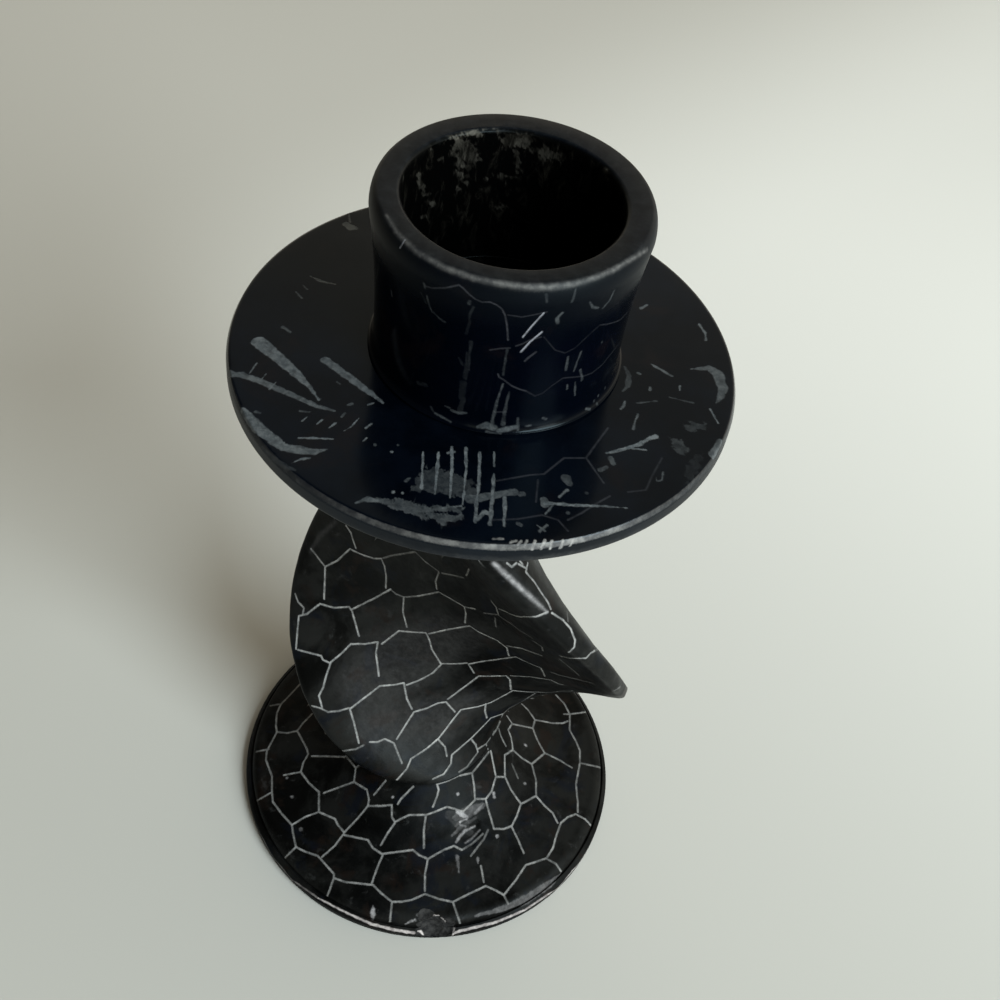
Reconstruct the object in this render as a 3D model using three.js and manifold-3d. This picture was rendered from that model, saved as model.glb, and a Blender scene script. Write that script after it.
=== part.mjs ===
// A small carved stone candlestick for one taper candle.
// A domed round base carries a stem that is one thick leaf of stone, twisted through more than
// half a turn. On the stem sits a flat round drip pan, and on the pan a short candle cup.
// Two hidden pins line the pieces up, and a thin glue line lies in each joint.
// Lengths are millimetres. Z is up, and the origin is the middle of the base's underside.

import * as THREE from 'three';
import { mergeVertices } from 'three/addons/utils/BufferGeometryUtils.js';
import Module from 'manifold-3d';

const wasm = await Module();
wasm.setup();

// Heights of the stack
const BASE_HEIGHT = 11.9;
const STEM_HEIGHT = 82.9;
const PAN_THICKNESS = 2.6;
const CUP_HEIGHT = 21.2;
const GLUE_LINE = 0.3;

// Base: a flange, a rounded shoulder and a dome that sweeps up into the neck
const BASE_RADIUS = 31;
const BASE_EDGE_BREAK = 0.4;
const FLANGE_SIDE = 1;
const FLANGE_BEVEL = 0.75;
const SHOULDER_STEP = 0.3;
const SHOULDER_WIDTH = 1.9;
const SHOULDER_RISE = 1.5;
const DOME_RISE = 1.1;
const SWEEP_POWER = 2.4;

// Stem: half widths and half thicknesses of the leaf's section
const FOOT_HALF_WIDTH = 11.4;
const FOOT_HALF_THICKNESS = 9.4;
const TOP_HALF_WIDTH = 6.4;
const TOP_HALF_THICKNESS = 7.2;
const LOBE_HALF_WIDTH = 25.7;
const FIN_HALF_WIDTH = 28.6;
const LEAF_HALF_THICKNESS = 2.35;
const WIDEST_HEIGHT = 27.8;
const LEAF_FULLNESS = 1.29;
const EDGE_SQUARENESS = 0.6;
const STEM_BOW_X = 0.3;
const STEM_BOW_Y = 2;

// Twist of the leaf, in degrees. The lobe's side starts at the foot angle and turns clockwise
// going up. The lean and neck values make the turn quicker near both necks.
const FOOT_ANGLE = 233.2;
const STEM_TURN = 210.5;
const TURN_LEAN = 74.5;
const NECK_TURN = 234.6;

// Drip pan, which sits a little off the base's axis
const PAN_RADIUS = 29.87;
const PAN_TOP_BEVEL = 0.35;
const PAN_BEVEL_DROP = 0.7;
const PAN_UNDERCUT = 0.3;
const PAN_UNDERCUT_RISE = 0.45;
const PAN_X = 0.54;
const PAN_Y = -0.24;

// Candle cup, and its bore for a 22 mm taper
const CUP_FOOT_RADIUS = 15;
const CUP_WAIST_RADIUS = 14.4;
const CUP_LIP_RADIUS = 15.45;
const CUP_FOOT_SWEEP = 1.8;
const CUP_FLARE_START = 4;
const LIP_ROUND_WIDTH = 0.95;
const LIP_ROUND_DROP = 2.2;
const BORE_RADIUS = 12;
const BORE_DEPTH = 17.8;
const BORE_CHAMFER = 0.35;
const CUP_X = 1.65;
const CUP_Y = 0.7;
const BORE_SHIFT_X = -0.15;
const BORE_SHIFT_Y = -0.4;

// Hidden pins
const PIN_RADIUS = 2;
const PIN_CLEARANCE = 0.3;
const PIN_REACH_BASE = 8;
const PIN_REACH_FOOT = 7;
const PIN_REACH_TOP = 10;
const PIN_REACH_CUP = 1.6;

// Fineness of the curved faces
const ROUND_STEPS = 72;
const SECTION_STEPS = 40;
const STEM_RINGS = 50;
const ARC_STEPS = 4;
const SWEEP_RINGS = 9;
const PIN_STEPS = 24;

const STEM_FOOT_Z = BASE_HEIGHT + GLUE_LINE;
const STEM_TOP_Z = STEM_FOOT_Z + STEM_HEIGHT;
const PAN_BOTTOM_Z = STEM_TOP_Z + GLUE_LINE;
const PAN_TOP_Z = PAN_BOTTOM_Z + PAN_THICKNESS;
const CUP_BOTTOM_Z = PAN_TOP_Z + GLUE_LINE;
const HOLE_RADIUS = PIN_RADIUS + PIN_CLEARANCE;

const POLISHED_BLACK = { color: 0x0b0d12, roughness: 0.34, metalness: 0 };
const MATTE_CHARCOAL = { color: 0x26261f, roughness: 0.62, metalness: 0 };
const STEEL_GREY = { color: 0x8d8f92, roughness: 0.4, metalness: 1 };

function degrees(angle) {
  return THREE.MathUtils.degToRad(angle);
}

function mix(from, to, share) {
  return from + (to - from) * share;
}

// A closed body from a stack of rings, the lowest ring first, each ring counter-clockwise
function stackRings(rings) {
  const count = rings[0].length;
  const positions = [];
  const index = [];
  for (const ring of rings) {
    for (const point of ring) {
      positions.push(point.x, point.y, point.z);
    }
  }
  for (let level = 0; level < rings.length - 1; level += 1) {
    for (let step = 0; step < count; step += 1) {
      const next = (step + 1) % count;
      const low = level * count;
      const high = low + count;
      index.push(low + step, low + next, high + next);
      index.push(low + step, high + next, high + step);
    }
  }
  capRing(positions, index, rings[0], 0, false);
  capRing(positions, index, rings[rings.length - 1], (rings.length - 1) * count, true);
  const geometry = new THREE.BufferGeometry();
  geometry.setAttribute('position', new THREE.Float32BufferAttribute(positions, 3));
  geometry.setIndex(index);
  return geometry;
}

// Closes one end of the stack with a fan of triangles around the ring's middle
function capRing(positions, index, ring, first, facesUp) {
  const middle = new THREE.Vector3();
  for (const point of ring) {
    middle.add(point);
  }
  middle.divideScalar(ring.length);
  const centre = positions.length / 3;
  positions.push(middle.x, middle.y, middle.z);
  for (let step = 0; step < ring.length; step += 1) {
    const here = first + step;
    const next = first + (step + 1) % ring.length;
    if (facesUp) {
      index.push(centre, here, next);
    } else {
      index.push(centre, next, here);
    }
  }
}

// A turned body from an outline of [radius, height] pairs that starts and ends on the axis
function turnedGeometry(outline, steps) {
  const points = outline.map(([radius, height]) => new THREE.Vector2(radius, height));
  const geometry = new THREE.LatheGeometry(points, steps);
  geometry.rotateX(Math.PI / 2);
  return geometry;
}

function toSolid(geometry) {
  const bare = new THREE.BufferGeometry();
  bare.setAttribute('position', geometry.getAttribute('position'));
  bare.setIndex(geometry.getIndex());
  const merged = mergeVertices(bare, 1e-4);
  const source = merged.getIndex().array;
  const triangles = [];
  for (let at = 0; at < source.length; at += 3) {
    const [a, b, c] = [source[at], source[at + 1], source[at + 2]];
    if (a !== b && b !== c && c !== a) {
      triangles.push(a, b, c);
    }
  }
  return new wasm.Manifold(new wasm.Mesh({
    numProp: 3,
    vertProperties: new Float32Array(merged.getAttribute('position').array),
    triVerts: new Uint32Array(triangles),
  }));
}

function toGeometry(solid) {
  const mesh = solid.getMesh();
  const geometry = new THREE.BufferGeometry();
  geometry.setAttribute('position', new THREE.BufferAttribute(mesh.vertProperties, 3));
  geometry.setIndex(new THREE.BufferAttribute(mesh.triVerts, 1));
  geometry.computeVertexNormals();
  return geometry;
}

// An upright round cutter between two heights
function roundCutter(radius, low, high, x, y, steps) {
  const geometry = new THREE.CylinderGeometry(radius, radius, high - low, steps);
  geometry.rotateX(Math.PI / 2);
  geometry.translate(x, y, (low + high) / 2);
  return toSolid(geometry);
}

// The leaf's swelling, from 0 at both necks to 1 where the leaf is widest
function leafSwell(share) {
  const bias = Math.log(0.5) / Math.log(WIDEST_HEIGHT / STEM_HEIGHT);
  const wave = Math.sin(Math.PI * share ** bias);
  return Math.max(wave, 0) ** LEAF_FULLNESS;
}

// The direction of the lobe's side of the section, in radians
function leafAngle(share) {
  const rest = 1 - share;
  const lean = TURN_LEAN * share * rest;
  const neck = NECK_TURN * share * rest * (rest - share);
  return degrees(FOOT_ANGLE - STEM_TURN * share + lean - neck);
}

// One level section of the leaf: a squared ellipse, wider on the fin's side than on the lobe's
function leafRing(share, steps) {
  const swell = leafSwell(share);
  const angle = leafAngle(share);
  const neckWidth = mix(FOOT_HALF_WIDTH, TOP_HALF_WIDTH, share);
  const neckThickness = mix(FOOT_HALF_THICKNESS, TOP_HALF_THICKNESS, share);
  const lobe = mix(neckWidth, LOBE_HALF_WIDTH, swell);
  const fin = mix(neckWidth, FIN_HALF_WIDTH, swell);
  const thickness = mix(neckThickness, LEAF_HALF_THICKNESS, swell);
  const power = 1 - EDGE_SQUARENESS * swell;
  const centreX = STEM_BOW_X * swell + PAN_X * share;
  const centreY = STEM_BOW_Y * swell + PAN_Y * share;
  const ring = [];
  for (let step = 0; step < steps; step += 1) {
    const turn = 2 * Math.PI * step / steps;
    const across = Math.cos(turn) * (Math.cos(turn) > 0 ? lobe : fin);
    const through = thickness * Math.sign(Math.sin(turn)) * Math.abs(Math.sin(turn)) ** power;
    ring.push(new THREE.Vector3(
      centreX + across * Math.cos(angle) - through * Math.sin(angle),
      centreY + across * Math.sin(angle) + through * Math.cos(angle),
      STEM_FOOT_Z + STEM_HEIGHT * share,
    ));
  }
  return ring;
}

// The base's outline from the underside to the neck, as [radius, height, share of the neck's shape]
function baseOutline() {
  const bevelTop = BASE_EDGE_BREAK + FLANGE_SIDE + FLANGE_BEVEL;
  const shoulderFoot = BASE_RADIUS - FLANGE_BEVEL - SHOULDER_STEP;
  const sweepStart = shoulderFoot - SHOULDER_WIDTH;
  const sweepFoot = bevelTop + SHOULDER_RISE;
  const outline = [
    [BASE_RADIUS - BASE_EDGE_BREAK, 0, 0],
    [BASE_RADIUS, BASE_EDGE_BREAK, 0],
    [BASE_RADIUS, BASE_EDGE_BREAK + FLANGE_SIDE, 0],
    [BASE_RADIUS - FLANGE_BEVEL, bevelTop, 0],
  ];
  for (let step = 0; step < ARC_STEPS; step += 1) {
    const arc = degrees(90 * step / ARC_STEPS);
    const inward = SHOULDER_WIDTH * (1 - Math.cos(arc));
    const height = bevelTop + SHOULDER_RISE * Math.sin(arc);
    outline.push([shoulderFoot - inward, height, 0]);
  }
  for (let step = 0; step <= SWEEP_RINGS; step += 1) {
    const share = step / SWEEP_RINGS;
    const radius = mix(sweepStart, FOOT_HALF_WIDTH, share);
    const dome = DOME_RISE * Math.sin(Math.PI * share) * (1 - share);
    const sweep = (BASE_HEIGHT - sweepFoot) * share ** SWEEP_POWER;
    outline.push([radius, sweepFoot + dome + sweep, share ** 3]);
  }
  return outline;
}

// A ring of the base: round below, and the shape of the stem's foot at the neck
function baseRing(radius, height, neckShare) {
  const squeeze = FOOT_HALF_THICKNESS / FOOT_HALF_WIDTH;
  const angle = leafAngle(0);
  const ring = [];
  for (let step = 0; step < ROUND_STEPS; step += 1) {
    const turn = 2 * Math.PI * step / ROUND_STEPS;
    const along = Math.cos(turn - angle);
    const aside = Math.sin(turn - angle) * mix(1, squeeze, neckShare);
    ring.push(new THREE.Vector3(
      radius * (along * Math.cos(angle) - aside * Math.sin(angle)),
      radius * (along * Math.sin(angle) + aside * Math.cos(angle)),
      height,
    ));
  }
  return ring;
}

function makeBase() {
  const rings = baseOutline().map(([radius, height, neck]) => baseRing(radius, height, neck));
  const low = BASE_HEIGHT - PIN_REACH_BASE - PIN_CLEARANCE;
  const hole = roundCutter(HOLE_RADIUS, low, BASE_HEIGHT + 1, 0, 0, PIN_STEPS);
  return toGeometry(toSolid(stackRings(rings)).subtract(hole));
}

function makeStem() {
  const rings = [];
  for (let level = 0; level <= STEM_RINGS; level += 1) {
    const share = (1 - Math.cos(Math.PI * level / STEM_RINGS)) / 2;
    rings.push(leafRing(share, SECTION_STEPS));
  }
  const footEnd = STEM_FOOT_Z + PIN_REACH_FOOT + PIN_CLEARANCE;
  const topEnd = STEM_TOP_Z - PIN_REACH_TOP - PIN_CLEARANCE;
  const footHole = roundCutter(HOLE_RADIUS, STEM_FOOT_Z - 1, footEnd, 0, 0, PIN_STEPS);
  const topHole = roundCutter(HOLE_RADIUS, topEnd, STEM_TOP_Z + 1, PAN_X, PAN_Y, PIN_STEPS);
  return toGeometry(toSolid(stackRings(rings)).subtract(footHole).subtract(topHole));
}

// A flat disc with a narrow bevel round its top edge and its underside edge rounded in
function makePan() {
  const outline = [
    [0, 0],
    [PAN_RADIUS - PAN_UNDERCUT, 0],
  ];
  const sideTop = PAN_THICKNESS - PAN_BEVEL_DROP;
  for (let step = 1; step <= ARC_STEPS; step += 1) {
    const arc = degrees(90 * step / ARC_STEPS);
    const outward = PAN_UNDERCUT * Math.sin(arc);
    outline.push([PAN_RADIUS - PAN_UNDERCUT + outward, PAN_UNDERCUT_RISE * (1 - Math.cos(arc))]);
  }
  outline.push([PAN_RADIUS, sideTop]);
  outline.push([PAN_RADIUS - PAN_TOP_BEVEL, PAN_THICKNESS]);
  outline.push([0, PAN_THICKNESS]);
  const hole = roundCutter(HOLE_RADIUS, -1, PAN_THICKNESS + 1, 0, 0, PIN_STEPS);
  return toGeometry(toSolid(turnedGeometry(outline, ROUND_STEPS)).subtract(hole));
}

// The cup's outside, from a concave foot up the flaring wall to the rounded lip
function cupOutline() {
  const lipFoot = CUP_HEIGHT - LIP_ROUND_DROP;
  const outline = [[0, 0]];
  for (let step = 0; step <= ARC_STEPS; step += 1) {
    const arc = degrees(90 * step / ARC_STEPS);
    const inward = (CUP_FOOT_RADIUS - CUP_WAIST_RADIUS) * Math.sin(arc);
    outline.push([CUP_FOOT_RADIUS - inward, CUP_FOOT_SWEEP * (1 - Math.cos(arc))]);
  }
  for (let step = 0; step <= ARC_STEPS; step += 1) {
    const share = step / ARC_STEPS;
    const radius = mix(CUP_WAIST_RADIUS, CUP_LIP_RADIUS, share ** 2);
    outline.push([radius, mix(CUP_FLARE_START, lipFoot, share)]);
  }
  for (let step = 1; step <= ARC_STEPS; step += 1) {
    const arc = degrees(90 * step / ARC_STEPS);
    const inward = LIP_ROUND_WIDTH * (1 - Math.cos(arc));
    outline.push([CUP_LIP_RADIUS - inward, lipFoot + LIP_ROUND_DROP * Math.sin(arc)]);
  }
  outline.push([0, CUP_HEIGHT]);
  return outline;
}

// The candle bore: a flat floor, a straight wall and a small chamfer at the mouth
function boreCutter() {
  const floor = CUP_HEIGHT - BORE_DEPTH;
  const outline = [
    [0, floor],
    [BORE_RADIUS, floor],
    [BORE_RADIUS, CUP_HEIGHT - BORE_CHAMFER],
    [BORE_RADIUS + 2 * BORE_CHAMFER, CUP_HEIGHT + BORE_CHAMFER],
    [0, CUP_HEIGHT + BORE_CHAMFER],
  ];
  const geometry = turnedGeometry(outline, ROUND_STEPS);
  geometry.translate(BORE_SHIFT_X, BORE_SHIFT_Y, 0);
  return toSolid(geometry);
}

function makeCup() {
  const reach = PIN_REACH_CUP + PIN_CLEARANCE;
  const pinHole = roundCutter(HOLE_RADIUS, -1, reach, PAN_X - CUP_X, PAN_Y - CUP_Y, PIN_STEPS);
  const body = toSolid(turnedGeometry(cupOutline(), ROUND_STEPS));
  return toGeometry(body.subtract(boreCutter()).subtract(pinHole));
}

function makePin(length) {
  const geometry = new THREE.CylinderGeometry(PIN_RADIUS, PIN_RADIUS, length, PIN_STEPS);
  geometry.rotateX(Math.PI / 2);
  geometry.translate(0, 0, length / 2);
  return geometry;
}

function addPiece(parent, name, geometry, look, x, y, z) {
  const mesh = new THREE.Mesh(geometry, new THREE.MeshStandardMaterial(look));
  mesh.name = name;
  mesh.position.set(x, y, z);
  parent.add(mesh);
}

const lowerPinZ = BASE_HEIGHT - PIN_REACH_BASE;
const lowerPinLength = PIN_REACH_BASE + GLUE_LINE + PIN_REACH_FOOT;
const upperPinZ = STEM_TOP_Z - PIN_REACH_TOP;
const upperPinLength = PIN_REACH_TOP + GLUE_LINE + PAN_THICKNESS + GLUE_LINE + PIN_REACH_CUP;

const candlestick = new THREE.Group();
addPiece(candlestick, 'base', makeBase(), MATTE_CHARCOAL, 0, 0, 0);
addPiece(candlestick, 'twisted_stem', makeStem(), MATTE_CHARCOAL, 0, 0, 0);
addPiece(candlestick, 'lower_pin', makePin(lowerPinLength), STEEL_GREY, 0, 0, lowerPinZ);
addPiece(candlestick, 'upper_pin', makePin(upperPinLength), STEEL_GREY, PAN_X, PAN_Y, upperPinZ);
addPiece(candlestick, 'drip_pan', makePan(), POLISHED_BLACK, PAN_X, PAN_Y, PAN_BOTTOM_Z);
addPiece(candlestick, 'candle_cup', makeCup(), POLISHED_BLACK, CUP_X, CUP_Y, CUP_BOTTOM_Z);

export default candlestick;
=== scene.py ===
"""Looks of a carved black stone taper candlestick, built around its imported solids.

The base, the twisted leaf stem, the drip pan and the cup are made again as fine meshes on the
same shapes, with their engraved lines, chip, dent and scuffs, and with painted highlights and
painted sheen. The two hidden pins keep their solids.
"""

import math

import bpy
import numpy as np
from mathutils import Matrix, Vector
from mathutils.bvhtree import BVHTree

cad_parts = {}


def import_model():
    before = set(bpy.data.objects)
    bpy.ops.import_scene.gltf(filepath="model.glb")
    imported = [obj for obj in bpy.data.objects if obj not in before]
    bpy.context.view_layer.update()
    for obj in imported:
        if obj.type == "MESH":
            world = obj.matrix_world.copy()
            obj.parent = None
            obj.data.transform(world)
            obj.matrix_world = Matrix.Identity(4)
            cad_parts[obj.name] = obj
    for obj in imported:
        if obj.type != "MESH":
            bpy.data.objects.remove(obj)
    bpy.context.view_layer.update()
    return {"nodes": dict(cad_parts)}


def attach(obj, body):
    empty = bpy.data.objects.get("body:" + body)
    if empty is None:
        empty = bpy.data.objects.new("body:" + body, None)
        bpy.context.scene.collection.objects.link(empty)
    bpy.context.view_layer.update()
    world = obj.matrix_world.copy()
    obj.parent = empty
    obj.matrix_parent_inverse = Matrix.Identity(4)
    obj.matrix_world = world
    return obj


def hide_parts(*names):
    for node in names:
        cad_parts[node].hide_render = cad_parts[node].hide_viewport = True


MM = 0.001
ROUND = 2 * math.pi
FAR = 1e3
TINY = 1e-9

# Sizes in millimetres, the same as the solids have
BASE_HEIGHT = 11.9
STEM_HEIGHT = 82.9
PAN_THICKNESS = 2.6
CUP_HEIGHT = 21.2
GLUE_LINE = 0.3

BASE_RADIUS = 31
BASE_EDGE_BREAK = 0.4
FLANGE_SIDE = 1
FLANGE_BEVEL = 0.75
SHOULDER_STEP = 0.3
SHOULDER_WIDTH = 1.9
SHOULDER_RISE = 1.5
DOME_RISE = 1.1
SWEEP_POWER = 2.4

FOOT_HALF_WIDTH = 11.4
FOOT_HALF_THICKNESS = 9.4
TOP_HALF_WIDTH = 6.4
TOP_HALF_THICKNESS = 7.2
LOBE_HALF_WIDTH = 25.7
FIN_HALF_WIDTH = 28.6
LEAF_HALF_THICKNESS = 2.35
WIDEST_HEIGHT = 27.8
LEAF_FULLNESS = 1.29
EDGE_SQUARENESS = 0.6
STEM_BOW_X = 0.3
STEM_BOW_Y = 2
FOOT_ANGLE = 233.2
STEM_TURN = 210.5
TURN_LEAN = 74.5
NECK_TURN = 234.6

PAN_RADIUS = 29.87
PAN_TOP_BEVEL = 0.35
PAN_BEVEL_DROP = 0.7
PAN_UNDERCUT = 0.3
PAN_UNDERCUT_RISE = 0.45
PAN_X = 0.54
PAN_Y = -0.24

CUP_FOOT_RADIUS = 15
CUP_WAIST_RADIUS = 14.4
CUP_LIP_RADIUS = 15.45
CUP_FOOT_SWEEP = 1.8
CUP_FLARE_START = 4
LIP_ROUND_WIDTH = 0.95
LIP_ROUND_DROP = 2.2
BORE_RADIUS = 12
BORE_DEPTH = 17.8
BORE_CHAMFER = 0.35
CUP_X = 1.65
CUP_Y = 0.7
BORE_SHIFT_X = -0.15
BORE_SHIFT_Y = -0.4

HOLE_RADIUS = 2.3
HOLE_DEPTH_BASE = 8.3
HOLE_DEPTH_FOOT = 7.3
HOLE_DEPTH_TOP = 10.3
HOLE_DEPTH_CUP = 1.9

STEM_FOOT_Z = BASE_HEIGHT + GLUE_LINE
STEM_TOP_Z = STEM_FOOT_Z + STEM_HEIGHT
PAN_BOTTOM_Z = STEM_TOP_Z + GLUE_LINE
PAN_TOP_Z = PAN_BOTTOM_Z + PAN_THICKNESS
CUP_BOTTOM_Z = PAN_TOP_Z + GLUE_LINE

# Softened edges and rings that only the fine meshes have, in millimetres
SOFT_EDGE = 0.12
GROOVE_DEPTH = 0.3
UNDERSIDE_RING = 4
BORE_FLOOR_RING = 2

# Steps along the outlines, and columns round the meshes
SHOULDER_STEPS = 10
SWEEP_STEPS = 36
FOOT_STEPS = 8
LIP_STEPS = 10
STEM_ROWS = 70
STEM_COLUMNS = 88
TURNED_COLUMNS = 200
COARSE_COLUMNS = 120
EYE_COLUMNS = 240

# Edge lengths wanted at the marks and far from them, in millimetres
FINE_EDGE = 0.15
UNSEEN_EDGE = 0.21
STEM_COARSE_EDGE = 1.4
STEM_COARSEST = 2.4
BASE_COARSE_EDGE = 1.6
BROKEN_EDGE = 0.16
DENT_EDGE = 0.3
PAN_EDGE = 0.18
RIM_EDGE = 0.3
PAN_COARSE_EDGE = 2.0
PAN_COARSEST = 2.5
CUP_EDGE = 0.14
CUP_FAR_EDGE = 0.2
CUP_COARSE_EDGE = 1.5

# The camera, fitted to the rims and outlines in the photograph
LENS_MM = 46.79
SENSOR_MM = 36
CAMERA_PLACE = (0.0, -0.114187, 0.200766)
CAMERA_RIGHT = (0.99167515, 0.07484249, 0.10478069)
CAMERA_UP = (-0.12539173, 0.74633091, 0.6536567)
CAMERA_FORWARD = (0.02927977, 0.66135374, -0.74950245)
PHOTO_SIZE = 1000

# The room's brightness, and its lamps: direction and rise in degrees, distance, size, brightness
ROOM_LEFT = 0.09
ROOM_LOW = 1.5
ROOM_HIGH = 0.56
ROOM_COLOUR = (1.0, 0.9, 0.72, 1)
LIGHT_AIM = (0, 0, 0.05)
KEY_LAMP = (-43, 33, 1.05, 0.64, 16.0)
KEY_COLOUR = (0.86, 0.96, 1.0)
LOW_LAMP = (-41, 7, 1.0, 0.3, 6.0)
LOW_COLOUR = (1.0, 0.99, 0.97)
# The floor: where its painted shadow begins and ends, towards the camera and to the far left, in metres, and
# its half width
FLOOR_NEAR = -0.05
FLOOR_FAR = 0.2
FLOOR_LEFT = 0.05
FLOOR_FAR_LEFT = 0.17
FLOOR_HALF = 3

# Engraved lines, cut through the black dye. A generated network carries them on where the
# photograph doesn't look: its cells, and the seeds they are strewn with.
STEM_LINE_WIDTH = 0.27
BASE_LINE_WIDTH = 0.31
BASE_LINE_STRENGTH = 0.82
LINE_DEPTH = 0.07
LINE_EDGE = 0.06
STEM_CELL_SPACING = 6.4
STEM_SEED = 5
BASE_CELL_SPACING = 7.2
BASE_SEED = 9
CUP_CELL_SPACING = 7.5
CUP_SEED = 21
CUP_LINE_WIDTH = 0.2
CUP_LINE_STRENGTH = 0.14
CUP_SCRATCHES = 26
SCRATCH_SEED = 23
CANDIDATES = 5000
NORMAL_REACH = 4.0
BORDER_PART = 20000
BROKEN_SHARE = 0.16
BROKEN_LENGTH = 1.5

# Marks are (the photograph's pixels along a stroke, its width or widths in millimetres, its strength)
PIXEL_STEP = 4.0
STROKE_JUMP = 3.0
SEEN_SLACK = 0.5
MARK_REACH = 2.5

# Engraved lines are (the photograph's pixels from corner to corner, strength)
STEM_LINES = [
    ([(311, 549), (325, 567)], 0.8),
    ([(325, 567), (337, 561), (350, 549), (363, 555), (374, 559), (381, 559)], 1.0),
    ([(346, 526), (351, 533), (356, 548)], 0.9),
    ([(381, 559), (391, 556), (415, 552), (425, 562), (438, 571)], 0.45),
    ([(381, 559), (384, 566), (386, 576), (386, 588)], 0.9),
    ([(325, 567), (324, 599)], 1.0),
    ([(439, 572), (436, 581), (437, 589)], 0.8),
    ([(351, 610), (363, 604), (377, 597), (391, 589)], 0.9),
    ([(391, 589), (396, 594), (404, 597), (418, 596)], 0.45),
    ([(418, 596), (439, 592), (452, 600), (464, 607), (475, 609)], 0.8),
    ([(404, 597), (403, 612), (407, 627)], 0.85),
    ([(464, 607), (466, 614), (465, 623)], 0.9),
    ([(295, 594), (298, 602), (304, 608), (303, 614)], 0.7),
    ([(296, 649), (299, 616), (307, 614), (320, 604), (334, 608), (349, 607), (352, 611), (359, 636)], 1.0),
    ([(298, 650), (309, 653), (321, 656), (323, 660), (330, 663)], 0.8),
    ([(330, 663), (341, 654), (351, 644), (365, 644), (378, 642), (376, 653), (379, 676)], 1.0),
    ([(382, 644), (399, 631), (412, 632), (426, 633), (429, 639), (432, 650), (441, 664)], 1.0),
    ([(429, 634), (452, 629), (470, 626), (480, 633), (497, 641), (507, 648), (509, 656)], 0.95),
    ([(331, 662), (326, 677), (323, 688), (319, 696), (322, 707)], 1.0),
    ([(312, 706), (320, 708), (328, 712), (339, 711), (349, 708)], 0.8),
    ([(350, 709), (380, 686), (394, 685), (404, 683)], 1.0),
    ([(407, 685), (418, 681), (433, 673), (442, 664), (456, 664), (467, 663)], 0.9),
    ([(469, 664), (486, 661), (516, 657), (528, 663), (541, 668), (545, 676)], 0.8),
    ([(469, 665), (474, 673)], 0.9),
    ([(404, 683), (407, 699), (412, 709)], 0.9),
    ([(350, 709), (354, 722), (359, 743)], 0.9),
    ([(397, 739), (414, 712), (427, 708), (438, 703), (446, 702), (455, 712)], 0.9),
    ([(448, 699), (479, 676), (506, 676), (510, 680), (511, 690)], 0.95),
    ([(511, 676), (530, 677), (551, 680), (558, 684), (563, 685)], 0.7),
    ([(397, 780), (407, 769), (411, 759), (426, 749), (438, 739), (461, 710), (478, 707)], 0.95),
    ([(478, 707), (491, 703), (513, 691), (528, 692), (550, 692), (573, 691)], 0.95),
    ([(438, 739), (445, 747), (447, 756)], 0.8),
    ([(370, 742), (378, 742), (385, 739), (394, 743), (398, 753), (402, 763)], 0.8),
    ([(343, 751), (356, 749), (364, 745)], 0.5),
    ([(486, 704), (485, 711), (487, 718)], 0.9),
    ([(433, 779), (444, 774), (451, 764), (452, 755), (471, 739), (491, 718), (503, 714)], 0.85),
    ([(472, 740), (476, 745), (478, 752)], 0.8),
    ([(442, 573), (463, 578)], 0.4),
    ([(472, 562), (466, 576)], 0.7),
    ([(491, 601), (496, 607), (498, 614)], 0.8),
    ([(484, 613), (498, 615), (510, 623), (522, 632), (533, 639)], 0.4),
    ([(495, 618), (496, 627)], 0.4),
    ([(499, 609), (510, 614), (521, 617), (536, 617), (548, 612)], 0.9),
    ([(507, 646), (522, 649), (542, 656)], 0.7),
    ([(533, 641), (542, 647), (543, 651)], 0.6),
    ([(551, 672), (563, 676), (574, 679), (594, 684)], 0.4),
    ([(560, 659), (573, 670), (579, 676)], 0.4),
    ([(528, 563), (526, 572), (534, 581), (541, 592), (548, 602), (551, 609)], 0.8),
    ([(507, 563), (512, 567), (517, 563)], 0.8),
    ([(519, 564), (526, 568)], 0.8),
    ([(552, 613), (563, 620), (571, 629), (575, 640), (574, 647), (569, 652)], 0.9),
    ([(567, 612), (568, 621)], 0.3),
    ([(560, 656), (569, 658), (586, 658), (591, 653), (598, 649)], 0.7),
    ([(613, 691), (620, 687)], 0.4),
]

# Lines at the neck, each on the stem or the base
NECK_LINES = [
    ([(535, 693), (524, 701), (510, 708), (503, 714), (497, 729), (486, 744)], 0.5),
    ([(478, 749), (486, 744), (488, 749)], 0.6),
    ([(478, 752), (467, 767), (459, 772)], 0.4),
    ([(489, 752), (478, 766), (472, 773)], 0.6),
]

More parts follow.
